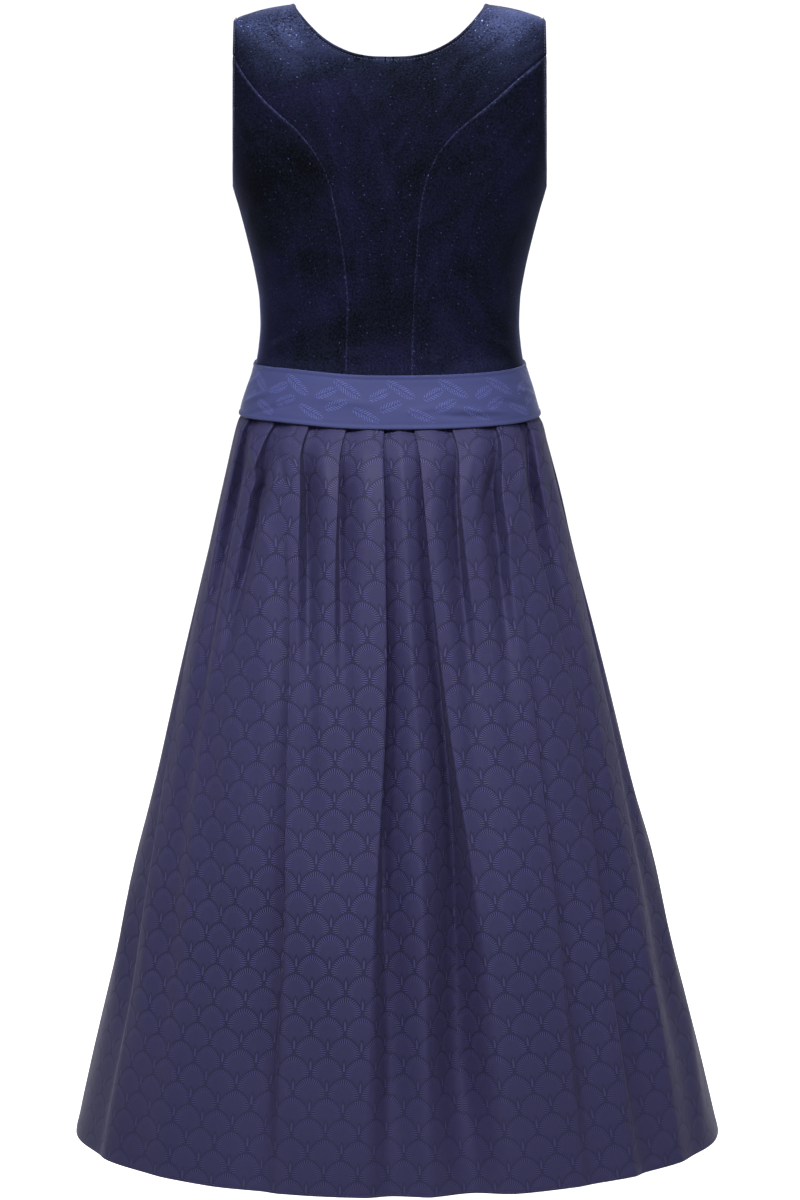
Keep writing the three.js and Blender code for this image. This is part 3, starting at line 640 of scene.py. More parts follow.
def centre_grid(sheet, side, hand, neck, neck_rows, princess, armhole, armhole_rows, mirrored=False):
    neck_rows, armhole_rows = neck_rows * ROW_SCALE, armhole_rows * ROW_SCALE
    middle_angle = 0.0 if side == "back" else hand * 180.0
    middle_rows = PRINCESS_ROWS + armhole_rows - neck_rows
    level = np.linspace(LOWEST_LEVEL, level_at(neck[0][1])[0], middle_rows + 1)
    middle = np.stack([np.full_like(level, middle_angle), level], -1)
    neck_line = neckline(side, hand, neck, neck_rows)
    inner = np.concatenate([middle, neck_line[1:]])
    seam = line_down(side, hand, princess, WAIST_SEAM, princess[0][0], PRINCESS_ROWS)
    arm = line_down(side, hand, armhole, princess[0][0], SHOULDER_TIP, armhole_rows)
    outer = np.concatenate([seam, arm[1:]])
    shares = drawn_back(SHARES, side == "front", True)
    start, end = inner[:-1], outer[:-1]
    x_start, x_end = [on_torso(line)[:, 0] for line in (start, end)]
    x = x_start[:, None] + (x_end - x_start)[:, None] * shares
    levels = start[:, 1:] + (end[:, 1:] - start[:, 1:]) * shares
    angles = angle_of(side, hand, x, levels)
    if side == "back":
        angles[:, 0] = start[:, 0]
    shoulder_levels = level_at(SHOULDER_TIP)[0] * shares
    short = 90 - SHOULDER_GAP if side == "back" else 90 + SHOULDER_GAP
    angles = np.concatenate([angles, np.full((1, len(shares)), hand * short)])
    levels = np.concatenate([levels, shoulder_levels[None]])
    seams = [on_torso(seam), torso_point(np.full(len(shares), hand * 90.0), shoulder_levels)]
    edges = [on_torso(neck_line), on_torso(arm)]
    if side == "front":
        edges.append(on_torso(middle))
    if mirrored:
        angles, levels = angles[:, ::-1], levels[:, ::-1]
    bodice_grid(sheet, angles, levels, seams, edges)
    stitch_lines["neck"].append((edges[0], neck_line))
    stitch_lines["armhole"].append((edges[1], arm))


def side_grid(sheet, side, hand, princess, armhole):
    seam = line_down(side, hand, princess, WAIST_SEAM, princess[0][0], PRINCESS_ROWS)
    under_levels = levels_down(WAIST_SEAM, UNDERARM, PRINCESS_ROWS)
    under = np.stack([np.full_like(under_levels, hand * 90), under_levels], -1)
    line = line_down(side, hand, armhole, princess[0][0], UNDERARM, ARMHOLE_ROWS)
    shares = drawn_back(SHARES, True, True, 110.0)
    top = at_shares(line, shares)
    middle = 0.0 if side == "back" else hand * 180.0

    def across(place):
        return (place[..., 0] - middle) / 90 * torso_reach[0](place[..., 1])

    t = np.linspace(0, 1, PRINCESS_ROWS + 1)[:, None]

    def bent(value, start, end):
        bend = value(top) - (value(top[0]) + (value(top[-1]) - value(top[0])) * shares)
        return start[:, None] + (end - start)[:, None] * shares + t * bend

    level = bent(lambda place: place[..., 1], seam[:, 1], under[:, 1])
    reach = bent(across, across(seam), across(under))
    angle = middle + reach * 90 / torso_reach[0](level)
    edges = [on_torso(line)]
    bodice_grid(sheet, angle, level, [on_torso(seam), on_torso(under)], edges)
    stitch_lines["armhole"].append((edges[0], line))


# The sash

sash_reach = [curve_of(SASH[:, 0], column) for column in SASH.T[1:]]


def sash_point(angle, z):
    lift = SASH_LAP["rise"] * smoothstep(angle, SASH_LAP["from"], SASH_LAP["to"])
    point = ring_point(sash_reach, z, angle, z, lift=lift)
    point[..., 2] += SASH_LIFT["rise"] * bell(angle, SASH_LIFT["angle"], SASH_LIFT["width"])
    return point


def sash_sheet():
    sheet = Sheet("sash_band", SASH_CLOTH)
    top, bottom = SASH[0, 0], SASH[-1, 0]
    edge = np.array([0, 0.5, 1.1, 1.8, 2.6, 3.5, 4.6, 6])
    z = np.concatenate([top - edge, top - np.linspace(8, 45, 22), bottom + edge[::-1]])[:, None]
    angle, z = np.broadcast_arrays(np.linspace(SASH_START, SASH_END, 421)[None], z)
    points = sash_point(angle, z)
    normals = normals_of(sash_point, angle, np.clip(z, bottom + 1, top - 1), 0.1, -0.5)
    from_edge = np.minimum(top - z, z - bottom)
    height = ridged(from_edge, SASH_RIDGES)
    height += creased(angle, z, SASH_RADIUS, SASH_CREASES) * smoothstep(from_edge, 1, 7)
    height += 0.35 * np.sin(np.radians(angle) * 3.1 + z * 0.09) * smoothstep(from_edge, 2, 12)
    outer = points + normals * height[..., None]
    inner = points - normals * SASH_CLOTH
    u = lengths_along(sash_point(angle, np.full_like(z, (top + bottom) / 2)), 1)
    u -= u[:, [np.argmin(np.abs(angle[0]))]]
    sheet.grid(outer, inner, u[:, :-1], u[:, 1:], z - bottom)
    return sheet


# The skirt

*skirt_reach, skirt_square = [curve_of(SKIRT[:, 0], column) for column in SKIRT.T[1:]]
lap_shift = curve_of(*zip(*LAP))


def pleat_curves(index, row):
    angles, depths, laps, halves = row[:5], row[5:9], row[9:11], row[11:] or USUAL_HALVES
    top_depths = [depth * min(1, depths[0] / FULL_PLEAT) for depth in TOP_DEPTHS]
    return {
        "angle": curve_of([SASH_EDGE, YOKE, KNEE, SHIN, HEM], angles),
        "depth": curve_of([SEAM, SASH_EDGE, YOKE, KNEE, SHIN, HEM], (*top_depths, *depths)),
        "lap": curve_of([YOKE, KNEE], laps),
        "half": curve_of([SASH_EDGE, HEM], halves),
        "lapped": 0.0 if index in (LEFT_SEAM_PLEAT, RIGHT_SEAM_PLEAT) else 1.0,
    }


pleats = [pleat_curves(index, row) for index, row in enumerate(PLEATS)]


# how much wider the valleys are low down, how much a lapped valley loses on its steep side and gains on the
# other, how much the folds ease at the hem, and how far the hem hangs down for each millimetre of depth
LOW_WIDENING, STEEP_SIDE, GENTLE_SIDE, HEM_EASE, HEM_HANG = 0.5, 0.7, 1.05, 0.38, 0.17
# the height of the small ripples, and the radius at the side seams
RIPPLE, SEAM_RADIUS = 0.9, 200


def valley_of(pleat, z):
    """A pleat's deepest line at some heights, and its reach to both sides. Where it laps under a fold, it is
    steep on that side and rises slowly on the other."""
    half = pleat["half"](z) * (1 + LOW_WIDENING * smoothstep(-z, 640, 980))
    lap = pleat["lap"](z) * pleat["lapped"] * (0.4 + 0.6 * smoothstep(z, -1080, -760))
    spread = GENTLE_SIDE * (0.25 + 0.75 * smoothstep(z, -760, -540))
    steep, gentle = 1 - STEEP_SIDE * np.abs(lap), 1 + np.abs(lap) * spread
    low = half * np.where(lap > 0, steep, gentle)
    high = half * np.where(lap > 0, gentle, steep)
    return pleat["angle"](z) - STEEP_SIDE * lap * half, low, high


def skirt_ring(angle, z):
    """A point of the skirt with no fold in it, before it drifts aside."""
    return ring_point(skirt_reach, z, angle, z, skirt_square(z))


def drifted(point, z):
    point[..., 0] += HEM_DRIFT * np.clip((DRIFT_TOP - z) / (DRIFT_TOP - HEM), 0, 1)
    return point


def skirt_point(angle, z):
    half, back, front = [curve(z) for curve in skirt_reach]
    depth = np.zeros(np.broadcast(angle, z).shape)
    shift = np.zeros_like(depth)
    for pleat in pleats:
        middle, low, high = valley_of(pleat, z)
        away = (angle - middle + 180) % 360 - 180
        place = np.clip(np.where(away < 0, away / low, away / high), -1, 1)
        wave = (1 + np.cos(np.pi * place)) / 2
        depth += (pleat["depth"](z) * wave) ** 3
        shift -= pleat["lap"](z) * lap_shift(z) * wave
    depth = np.cbrt(depth) * (1 - HEM_EASE * smoothstep(-z, 1050, 1190))
    around = (half + np.where(np.cos(np.radians(angle)) > 0, back, front)) / 2
    depth -= creased(angle, z, around, SKIRT_CREASES) * smoothstep(-z, 430, 452)
    turn = np.radians(angle)
    depth -= RIPPLE * np.sin(turn * 17 + z * 0.011) * np.sin(z * 0.017 + turn * 5)
    point = skirt_ring(angle + np.degrees(shift / around), z)
    point[..., :2] -= unit(point[..., :2]) * depth[..., None]
    point[..., 2] -= HEM_HANG * depth * smoothstep(-z, 1090, 1190)
    return drifted(point, z)


VALLEY_PLACES = np.array([0, 0.1, 0.2, 0.31, 0.42, 0.54, 0.67, 0.82, 1.0])
CREST_PLACES = np.linspace(0, 1, 9)[1:-1]


def skirt_columns(first, last, z):
    """The angles of the columns from one seam's pleat to the next, for an array of heights."""
    count = len(pleats)
    order = [(i % count, 360 * (i // count)) for i in range(first, last + 1)]
    valleys = [valley_of(pleats[i], z) for i, _ in order]
    angles = [middle + turn for (middle, _, _), (_, turn) in zip(valleys, order)]
    columns, valley_columns = [], []
    for i, (_, low, high) in enumerate(valleys):
        valley_columns.append(len(columns))
        columns.append(angles[i])
        if i + 1 < len(order):
            space = angles[i + 1] - angles[i]
            after, before = high, valleys[i + 1][1]
            fit = np.minimum(1, 0.92 * space / (after + before))
            columns += [angles[i] + place * after * fit for place in VALLEY_PLACES[1:]]
            begin, end = angles[i] + after * fit, angles[i + 1] - before * fit
            columns += [begin + (end - begin) * place for place in CREST_PLACES]
            columns += [angles[i + 1] - place * before * fit for place in VALLEY_PLACES[:0:-1]]
    return np.stack(columns, 1), valley_columns


# the rows' heights: the part under the sash, the pleats' tops, the long fall and the hem
STRETCHES = [(SEAM, -424, 6), (-427, -560, 45), (-566, -1180, 88), (-1185, -1194, 4)]
HEIGHTS = np.concatenate([np.linspace(*stretch) for stretch in STRETCHES] + [[-1196, -1197.2, HEM]])


def skirt_sheet(name, first, last):
    sheet = Sheet(name, SKIRT_CLOTH)
    angle, valleys = skirt_columns(first, last, HEIGHTS)
    z = HEIGHTS[:, None] + np.zeros_like(angle)
    # the seams' edges stand a little apart
    inset = np.degrees(SEAM_GAP * GAP_SHARE / SEAM_RADIUS)
    angle[:, 0] += inset
    angle[:, -1] -= inset
    points = skirt_point(angle, z)
    within = np.clip(z, HEM + 1, SEAM - 1)
    ends = (z >= SEAM - 1e-6) | (z <= HEM + 1e-6)
    normals = levelled(normals_of(skirt_point, angle, within, 0.08, -0.5), ends)
    # the hem is turned up inside
    turned_up = smoothstep(-z, 1162, 1166)
    inner = points - normals * (SKIRT_CLOTH + turned_up)[..., None]
    outer = points + normals * (0.3 * bell(z, -1193, 4))[..., None]
    u = lengths_along(points[..., :2], 1)
    breaks = [column for i, column in enumerate(valleys) if (first + i) % len(pleats) in PATTERN_BREAKS]
    bounds = [0, *breaks, angle.shape[1] - 1]
    left, right = u[:, :-1].copy(), u[:, 1:].copy()
    for a, b in zip(bounds[:-1], bounds[1:]):
        middle = (a + b) // 2
        move = u[-1, middle] - u[:, middle]
        left[:, a:b] += move[:, None]
        right[:, a:b] += move[:, None]
    up = lengths_along(drifted(skirt_ring(angle, z), z)[::-1])[::-1]
    up = up[:, valleys[len(valleys) // 2]][:, None] + np.zeros_like(angle)
    sheet.grid(outer, inner, left, right, up)
    return sheet, float(u.max(axis=1).mean() / 1000)


# Materials


def operation(kind, swapped=False):
    def act(self, other=None):
        return self.graph.math(kind, other, self) if swapped else self.graph.math(kind, self, other)

    return act


class Value:
    """What a node gives. One reckons with it as with a number, and each step becomes a node."""

    __add__, __radd__ = operation("ADD"), operation("ADD", True)
    __sub__, __rsub__ = operation("SUBTRACT"), operation("SUBTRACT", True)
    __mul__, __pow__, __abs__ = operation("MULTIPLY"), operation("POWER"), operation("ABSOLUTE")

    def __init__(self, graph, socket):
        self.graph, self.socket = graph, socket


class Graph:
    """A node material, with short calls for its nodes."""

    def __init__(self, name):
        self.material = bpy.data.materials.new(name)
        self.material.use_nodes = True
        self.tree = self.material.node_tree
        self.tree.nodes.clear()
        self.shader = self.node("BsdfPrincipled")
        self.put(self.node("OutputMaterial").inputs["Surface"], Value(self, self.shader.outputs[0]))

    def node(self, kind, **settings):
        node = self.tree.nodes.new(f"ShaderNode{kind}")
        for name, value in settings.items():
            setattr(node, name, value)
        return node

    def put(self, socket, value):
        if isinstance(value, Value):
            self.tree.links.new(value.socket, socket)
        elif value is not None:
            socket.default_value = value

    def fed(self, node, given, output=0):
        """A node's output, once its inputs have been given by name or number."""
        for name, value in given.items():
            self.put(node.inputs[name], value)
        return Value(self, node.outputs[output])

    def math(self, kind, *values, clamp=False):
        return self.fed(self.node("Math", operation=kind, use_clamp=clamp), dict(enumerate(values)))

    def highest(self, first, *rest):
        for value in rest:
            first = self.math("MAXIMUM", first, value)
        return first

    def band(self, value, low, high, soft):
        """1 between two values, with soft edges."""
        return self.ramp(value, low - soft, low + soft) * self.ramp(value, high + soft, high - soft)

    def ramp(self, value, start, end):
        """From 0 at start to 1 at end, either way round."""
        if start > end:
            return 1.0 - self.ramp(value, end, start)
        node = self.node("MapRange", interpolation_type="SMOOTHSTEP")
        return self.fed(node, {"Value": value, "From Min": start, "From Max": end}, "Result")

    def centred(self, value, pitch, shift=0.0):
        """The distance to the nearest of the evenly spaced places shift, shift + pitch and so on."""
        return (self.math("FRACT", (value - shift) * (1 / pitch) + 0.5) - 0.5) * pitch

    def colour(self, share, a, b, blend="MIX"):
        node = self.node("Mix", data_type="RGBA", blend_type=blend)
        a, b = [(*value, 1.0) if isinstance(value, tuple) else value for value in (a, b)]
        return self.fed(node, {0: share, 6: a, 7: b}, 2)

    def shaded(self, colour, shade):
        return self.colour(1.0, colour, self.vector(shade, shade, shade), "MULTIPLY")

    def vector(self, x, y, z=0.0):
        return self.fed(self.node("CombineXYZ"), {0: x, 1: y, 2: z})

    def parts(self, vector):
        node = self.node("SeparateXYZ")
        self.put(node.inputs[0], vector)
        return [Value(self, socket) for socket in node.outputs]

    def cloth_place(self):
        """Millimetres across and up the cut cloth."""
        across, up, _ = self.parts(Value(self, self.node("UVMap", uv_map="UVMap").outputs[0]))
        return across * 1000.0, up * 1000.0

    def object_place(self):
        return Value(self, self.node("TexCoord").outputs["Object"])

    def noise(self, place, scale, detail=3.0, rough=0.55, distortion=0.0):
        return self.fed(self.node("TexNoise"), {
            "Vector": place, "Scale": scale, "Detail": detail, "Roughness": rough, "Distortion": distortion})

    def bump(self, height, distance, strength=1.0, onto=None):
        given = {"Height": height, "Distance": distance, "Strength": strength, "Normal": onto}
        return self.fed(self.node("Bump"), given)

    def threads(self, across, up, pitch, distance, strength):
        """The bump of a fine plain weave."""
        turn = 2 * math.pi / pitch
        height = self.math("SINE", across * turn) * self.math("SINE", up * turn) * 0.5 + 0.5
        return self.bump(height, distance, strength)

    def finish(self, **values):
        for name, value in values.items():
            self.put(self.shader.inputs[name.replace("_", " ").title().replace("Ior", "IOR")], value)
        return self.material


# a fan's width, the rise from one row to the next but one, its radius, its rays and its squareness
FAN_PITCH, FAN_RISE, FAN_RADIUS, FAN_RAYS, FAN_POWER = 35.0, 42.5, 17.8, 36.0, 1.65


def fan_masks(g, across, up):
    """Fish-scale fans in rows that lap over the row above: masks of the rays, outline, body, bud and arch."""
    cells = []
    for shift in (0.0, 0.5):
        x = g.centred(across, FAN_PITCH, shift * FAN_PITCH)
        y = g.centred(up, FAN_RISE, shift * FAN_RISE)
        r = (abs(x) ** FAN_POWER + abs(y) ** FAN_POWER) ** (1 / FAN_POWER)
        cells.append((x, y, r, y - g.math("GREATER_THAN", r, FAN_RADIUS) * 100.0))
    pick = g.math("GREATER_THAN", cells[1][3], cells[0][3])
    x, y, r = [a + pick * (b - a) for a, b in zip(cells[0][:3], cells[1][:3])]
    angle = g.math("ARCTAN2", x, y)
    ring = g.band(r, 9.6, 15.4, 0.6) * g.ramp(abs(angle), 2.15, 1.85)
    rays = (g.ramp(g.math("COSINE", angle * FAN_RAYS), -0.45, 0.7) - 0.34) * ring
    outline = g.ramp(r, 15.2, 16.6) * g.ramp(r, FAN_RADIUS + 0.4, FAN_RADIUS - 0.6)
    body = g.ramp(r, 10.2, 8.8)
    buds, arches = [], []
    for x, y, _, _ in cells:
        side, down = abs(x), y * -1.0
        foot = g.ramp(down, 19.2, 18.6)
        bud = g.ramp(side - g.ramp(down, 8.2, 12.5) * 0.95, 0.25, -0.25) * foot
        arch = g.ramp(side - g.ramp(down, 4.6, 11.0) * 2.5, 0.4, -0.4)
        buds.append(bud * g.ramp(down, 8.4, 9.2))
        arches.append(arch * (foot * g.ramp(down, 5.0, 6.0)))
    bud = g.highest(*buds)
    arch = g.math("SUBTRACT", g.highest(*arches), bud, clamp=True)
    clear = 1.0 - g.highest(bud, arch)
    return rays * clear, outline * clear, body * clear, bud, arch


def skirt_material():
    g = Graph("fan_jacquard")
    across, up = g.cloth_place()
    place = g.object_place()
    height = g.parts(place)[2]
    soft = g.noise(place, 5.0) - 0.5
    # the weave is never quite even: the pattern wanders by a fraction of a millimetre
    wander = (g.noise(place, 9.0, 2.0) - 0.5) * 2.2
    # the pattern is plainer where the cloth is worn, and toward the hem
    worn = g.ramp(g.noise(place, 4.0, 1.0), 0.42, 0.62) * 0.2
    clear = 1.0 - g.highest(worn, g.ramp(height, -0.95, -1.15) * 0.4)
    rays, outline, body, bud, arch = [mask * clear for mask in fan_masks(g, across + wander, up + wander)]
    fleck = g.noise(g.vector(across * 0.9, up * 0.35), 1.0, 2.0, 0.7) - 0.5
    # painted shade: the last term darkens the colour toward the hem, as the light falls off toward the floor
    shade = (0.97 + rays * 1.5 + outline * -0.3 + body * 0.06 + bud * 0.7 + arch * -0.28 + soft * 0.3
             + fleck * 0.3 + g.ramp(height, -0.75, -1.05) * -0.1)
    relief = rays * 0.5 + bud * 0.7 + outline * -0.5 + body * 0.15 + arch * -0.4
    return g.finish(
        base_color=g.shaded((0.0115, 0.0107, 0.0305), shade),
        roughness=0.56 + rays * -0.1 + bud * -0.1 + outline * 0.08 + fleck * 0.08,
        normal=g.bump(relief, 0.00035, 0.6, g.threads(across, up, 0.9, 0.00012, 0.35)),
        specular_ior_level=0.055, sheen_weight=0.015, sheen_roughness=0.45, sheen_tint=(0.62, 0.6, 0.9, 1.0))


# the leaves of one repeat of the sash: how far along and up the middle of each is, its slant, and half its
# length and width
LEAVES = [(10.5, 38.5, -30, 18.0, 5.3), (-11.5, 33.5, 24, 12.5, 5.0), (0.0, 22.0, 22, 13.5, 4.9),
          (31.0, 13.0, -24, 16.0, 4.6)]
LEAF_REPEAT, TICK_PITCH = 56.0, 3.0


def sash_material():
    g = Graph("leaf_weave")
    across, up = g.cloth_place()
    place = g.object_place()
    wander = (g.noise(place, 14.0, 2.0) - 0.5) * 3.0
    turn = 2 * math.pi / TICK_PITCH
    lights, vein = [], 0.0
    for along, height, slant, long, wide in LEAVES:
        x = g.centred(across + wander, LEAF_REPEAT, along)
        y = up + wander - height
        c, s = math.cos(math.radians(slant)), math.sin(math.radians(slant))
        p, q = x * c + y * s, abs(y * c - x * s)
        inside = g.ramp((abs(p) * (1 / long)) ** 2.2 + (q * (1 / wide)) ** 2.0, 1.05, 0.8)
        rib = g.ramp(q, 0.6, 0.3) * inside
        ticks = (g.ramp(g.math("SINE", p * turn + q * (-turn * 0.85)), -0.1, 0.6) - 0.22) * inside
        lights.append(ticks * (1.0 - rib))
        vein = vein + rib
    soft = g.noise(place, 9.0) - 0.5
    fleck = g.noise(g.vector(across * 0.35, up * 1.1), 1.0, 2.0, 0.7) - 0.5
    broken = g.ramp(g.noise(g.vector(across * 0.8, up * 0.9), 1.0, 1.0, 0.5), 0.38, 0.5)
    light = g.highest(*lights) * broken
    shade = 0.97 + light * 1.35 + vein * -0.1 + soft * 0.25 + fleck * 0.22
    return g.finish(
        base_color=g.shaded((0.0153, 0.0180, 0.0535), shade),
        roughness=0.62 + light * -0.08 + fleck * 0.1,
        normal=g.bump(light * 0.7 + vein * -0.5, 0.00035, 0.6, g.threads(across, up, 0.8, 0.0001, 0.35)),
        specular_ior_level=0.05, sheen_weight=0.06, sheen_roughness=0.4, sheen_tint=(0.7, 0.74, 1.0, 1.0))


def velvet_material():
    g = Graph("dark_velvet")
    across, up = g.cloth_place()
    place = g.object_place()
    cloud = g.noise(place, 11.0, 4.0, 0.6, 0.6) - 0.5
    stroke = g.noise(g.vector(across * 0.05, up * 0.014), 1.0, 3.0, 0.6, 0.8) - 0.5
    pile = g.noise(g.vector(across * 0.46, up * 0.38), 1.0, 3.0, 0.8)
    lint = g.ramp(g.noise(g.vector(across * 0.42, up * 0.42), 1.0, 0.0), 0.77, 0.83)
    shade = g.highest(-1.5 + cloud * 2.9 + stroke * 1.2 + pile * 4.9 + lint * 7.0, 0.15)
    # painted sheen: the base colour is lighter where the cloth turns up toward the light above, and more so away from
    # the middle; along a seam the pile's ends show lighter
    facing = g.parts(Value(g, g.node("NewGeometry").outputs["Normal"]))[2]
    outward = g.ramp(abs(g.parts(place)[0]), 0.05, 0.13)
    painted_top_light = g.ramp(facing, 0.08, 0.66) ** 1.3 * (0.35 + outward * 0.8)
    seam = Value(g, g.node("Attribute", attribute_name="seam").outputs["Fac"])
    ground = g.colour(g.ramp(cloud, -0.12, 0.14), (0.0013, 0.0018, 0.0047), (0.0015, 0.0015, 0.0057))
    # painted highlight: the colour turns to a lighter blue where the cloth faces up, as if lit from above
    colour = g.colour(painted_top_light, ground, (0.0170, 0.0215, 0.0510))
    colour = g.colour(seam * g.ramp(pile, 0.3, 0.65), colour, (0.0070, 0.0082, 0.0215))
    return g.finish(
        base_color=g.shaded(colour, shade),
        roughness=0.86 + cloud * 0.15,
        normal=g.bump(pile * 1.0 + cloud * 1.2, 0.0005, 0.5),
        specular_ior_level=0.02, sheen_weight=0.1, sheen_roughness=0.3, sheen_tint=(0.36, 0.41, 0.85, 1.0))


def lining_material():
    g = Graph("lining_cotton")
    across, up = g.cloth_place()
    soft = g.noise(g.object_place(), 7.0) - 0.5
    slub = g.noise(g.vector(across * 1.2, up * 0.1), 1.0, 2.0) - 0.5
    return g.finish(
        base_color=g.shaded((0.022, 0.024, 0.048), 1.0 + soft * 0.2 + slub * 0.25),
        roughness=0.82 + slub * 0.1,
        normal=g.threads(across, up, 0.8, 0.00012, 0.5))


def thread_material():
    g = Graph("sewing_thread")
    grain = g.noise(g.object_place(), 900.0, 1.0)
    colour = g.shaded((0.006, 0.007, 0.017), 0.8 + grain * 0.4)
    return g.finish(base_color=colour, roughness=0.5, normal=g.bump(grain, 0.0001, 0.3))


def floor_material():
    g = Graph("studio_floor")
    grain = g.noise(g.object_place(), 3.0, 2.0)
    return g.finish(base_color=g.shaded((0.93, 0.93, 0.93), 0.985 + grain * 0.02), roughness=0.9)


VELVET_LOOK, SASH_LOOK, SKIRT_LOOK = velvet_material(), sash_material(), skirt_material()
LINING_LOOK, THREAD_LOOK, FLOOR_LOOK = lining_material(), thread_material(), floor_material()

# Camera and lights

scene = bpy.context.scene
camera_data = bpy.data.cameras.new("camera")
camera_data.lens, camera_data.sensor_width = 139.5, 36.0
camera_data.clip_end = 200
camera = linked("camera", camera_data)
camera.location = (0.0106, -4.8, 0.3)
camera.rotation_euler = (math.radians(90 - 10.88), 0, 0)
scene.camera = camera
scene.view_settings.view_transform = "Standard"


def soft_light(name, place, target, width, height, power, spread=180):
    data = bpy.data.lights.new(name, "AREA")
    data.shape, data.size, data.size_y, data.energy = "RECTANGLE", width, height, power
    data.spread = math.radians(spread)
    light = linked(name, data)
    light.location = place
    x, y, z = np.array(target) - np.array(place)
    light.rotation_euler = (math.atan2(math.hypot(x, y), -z), 0, math.atan2(y, x) - math.pi / 2)


soft_light("key", (-0.15, -2.6, 1.9), (-0.02, 0, -0.5), 0.8, 0.6, 27, 60)
soft_light("left", (-2.0, -2.8, 1.9), (0, 0, -0.4), 0.9, 0.7, 18, 60)
soft_light("right", (2.0, -2.8, 1.9), (0, 0, -0.4), 0.9, 0.7, 16, 60)
soft_light("rear", (0.5, 3.0, 1.3), (0, 0, -0.4), 1.6, 1.4, 60)
sun_data = bpy.data.lights.new("ceiling", "SUN")
sun_data.energy, sun_data.angle = 2.85, math.radians(50)
linked("ceiling", sun_data).rotation_euler = (math.radians(6), math.radians(-4), 0)
world = bpy.data.worlds.new("studio")
world.use_nodes = True
background = world.node_tree.nodes["Background"]
background.inputs["Color"].default_value = (1, 1, 1, 1)
background.inputs["Strength"].default_value = 0.3
scene.world = world

FLOOR_CORNERS = [(x, y, -1.45) for x, y in ((-60, -60), (60, -60), (60, 60), (-60, 60))]
floor = mesh_object("floor", FLOOR_CORNERS, np.array([[0, 1, 2, 3]]))
floor.data.materials.append(FLOOR_LOOK)
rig.stage(floor)

# The pieces


def in_place_of(obj, node):
    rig.ride(obj, "root")
    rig.replaces(obj, node)
    return obj


def panel(name, *grids):
    """A panel of the bodice, made of grids: each is a function and what it takes besides the sheet."""
    sheet = Sheet(f"velvet_{name}", VELVET)
    for fill, *given in grids:
        fill(sheet, *given)
    obj = sheet.build([VELVET_LOOK, LINING_LOOK], "velvet", inside=1)
    panels[f"bodice_{name}"] = in_place_of(obj, f"bodice_{name}")


panels = {}
panel("centre_back", *[(centre_grid, "back", hand, BACK_NECK, 5, BACK_PRINCESS, BACK_ARMHOLE, 5, hand < 0)
                       for hand in (-1, 1)])
for hand, name in ((-1, "left"), (1, "right")):
    panel(f"side_back_{name}", (side_grid, "back", hand, BACK_PRINCESS, BACK_ARMHOLE))
    panel(f"side_front_{name}", (side_grid, "front", hand, FRONT_PRINCESS, FRONT_ARMHOLE))
    panel(f"centre_front_{name}",
          (centre_grid, "front", hand, FRONT_NECK, 7, FRONT_PRINCESS, FRONT_ARMHOLE, 4))

band = in_place_of(sash_sheet().build([SASH_LOOK], "sash_cloth"), "sash")

skirts = {}
for node, first, last in (("skirt_back", LEFT_SEAM_PLEAT, RIGHT_SEAM_PLEAT),
                          ("skirt_front", RIGHT_SEAM_PLEAT, LEFT_SEAM_PLEAT + len(PLEATS))):
    sheet, width = skirt_sheet(f"cloth_{node}", first, last)
    skirts[node] = (in_place_of(sheet.build([SKIRT_LOOK], "skirt_cloth"), node), width)

# how far the stitches are from the edge, from one to the next, how long they are, and the thread's radius
STITCH_INSET, STITCH_PITCH, STITCH_LENGTH, STITCH_RADIUS = 3.6, 3.2, 2.3, 0.28
# a stitch's sections: the place along it, the share of its radius, and the rise of its middle
STITCH_SECTIONS = ((-0.5, 0.2, -0.35), (-0.3, 0.9, 0.0), (0.0, 1.0, 0.12), (0.3, 0.9, 0.0), (0.5, 0.2, -0.35))
STITCH_RING = np.array([(0, -1), (0.8, -0.3), (0.8, 0.7), (0, 1), (-0.8, 0.7), (-0.8, -0.3)])


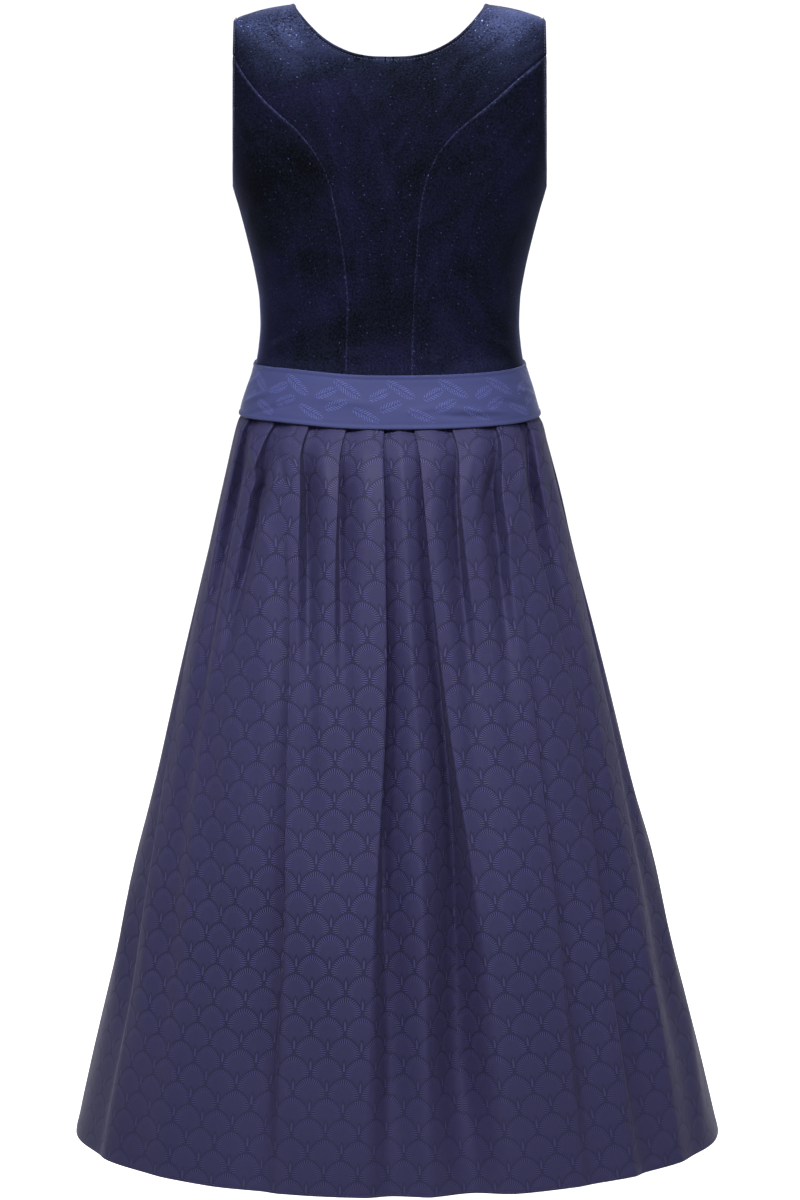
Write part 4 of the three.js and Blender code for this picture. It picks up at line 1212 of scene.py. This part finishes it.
def stitches(name, lines):
    """A row of stitches beside each line, on the outer face of the bodice."""
    points, faces = [], []
    sides = len(STITCH_RING)
    for edge, side_of, normal_of in lines:
        lengths = lengths_along(edge)
        for start in np.arange(STITCH_PITCH * 0.4, lengths[-1] - STITCH_PITCH, STITCH_PITCH):
            a, b = at_lengths([start, start + STITCH_LENGTH], lengths, edge)
            side, normal = at_lengths(start, lengths, side_of), at_lengths(start, lengths, normal_of)
            base = (a + b) / 2 + side * STITCH_INSET + normal * 0.02
            first = len(points) * sides
            ring = STITCH_RING[:, :1] * side + STITCH_RING[:, 1:] * normal
            for place, swell, lift in STITCH_SECTIONS:
                centre = base + unit(b - a) * STITCH_LENGTH * place + normal * lift
                points.append(centre + ring * STITCH_RADIUS * swell)
            for i in range(len(STITCH_SECTIONS) - 1):
                for j in range(sides):
                    low, high = first + i * sides + j, first + i * sides + (j + 1) % sides
                    faces.append((low, high, high + sides, low + sides))
    obj = mesh_object(name, np.concatenate(points) / 1000, np.array(faces))
    obj.data.materials.append(THREAD_LOOK)
    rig.slot(obj, "velvet")
    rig.ride(obj, "root")
    return obj


def stitched(edge, place, target):
    """An edge with two directions at each of its points: to its target in the cloth, and out of the face."""
    shift = 0.2 * np.where(np.abs(place[:, 0]) < 90, 1, -1) * np.sign(place[:, 0] + 1e-9)
    normal = torso_normals(place[:, 0] - shift, place[:, 1])
    side = np.cross(normal, unit(np.gradient(edge, axis=0), 1e-9))
    return edge, side * np.sign(((target - edge) * side).sum(axis=1, keepdims=True)), normal


neck_rows = [stitched(edge, place, edge + np.array([np.sign(edge[-1, 0]) * 14.0, 0, -30.0]))
             for edge, place in stitch_lines["neck"]]
arm_rows = [stitched(edge, place, edge * np.array([0.55, 1.25, 1.0]) + np.array([0, 0, -8.0]))
            for edge, place in stitch_lines["armhole"]]
stitching = [stitches("stitching_neck", neck_rows), stitches("stitching_armholes", arm_rows)]

# The sheets' cuts

# the share of its rectangle that a panel's curved edges leave, the sash's height as worn and when flat, and
# the length of the skirt's fall
PANEL_SHARE, BAND_TALL, BAND_FLAT, SKIRT_FALL = 0.72, 0.053, 0.056, 0.85

for node, obj in panels.items():
    low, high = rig.box(node)
    tall = high.z - low.z
    wide = min(2.0, obj["area"] / tall / PANEL_SHARE)
    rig.sheet(obj, flat=(round(wide, 3), round(tall, 3)), held="stretched", area=round(obj["area"], 5),
             with_pieces=stitching if node == "bodice_centre_back" else [])
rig.sheet(band, flat=(round(band["area"] / BAND_TALL, 3), BAND_FLAT), held="stretched")
for node, (obj, width) in skirts.items():
    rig.sheet(obj, flat=(round(width, 3), SKIRT_FALL), held="gathered")

low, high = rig.bounds()
with open("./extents.json", "w") as file:
    json.dump({"cad": [list(cad_low), list(cad_high)], "visual": [list(low), list(high)]}, file)
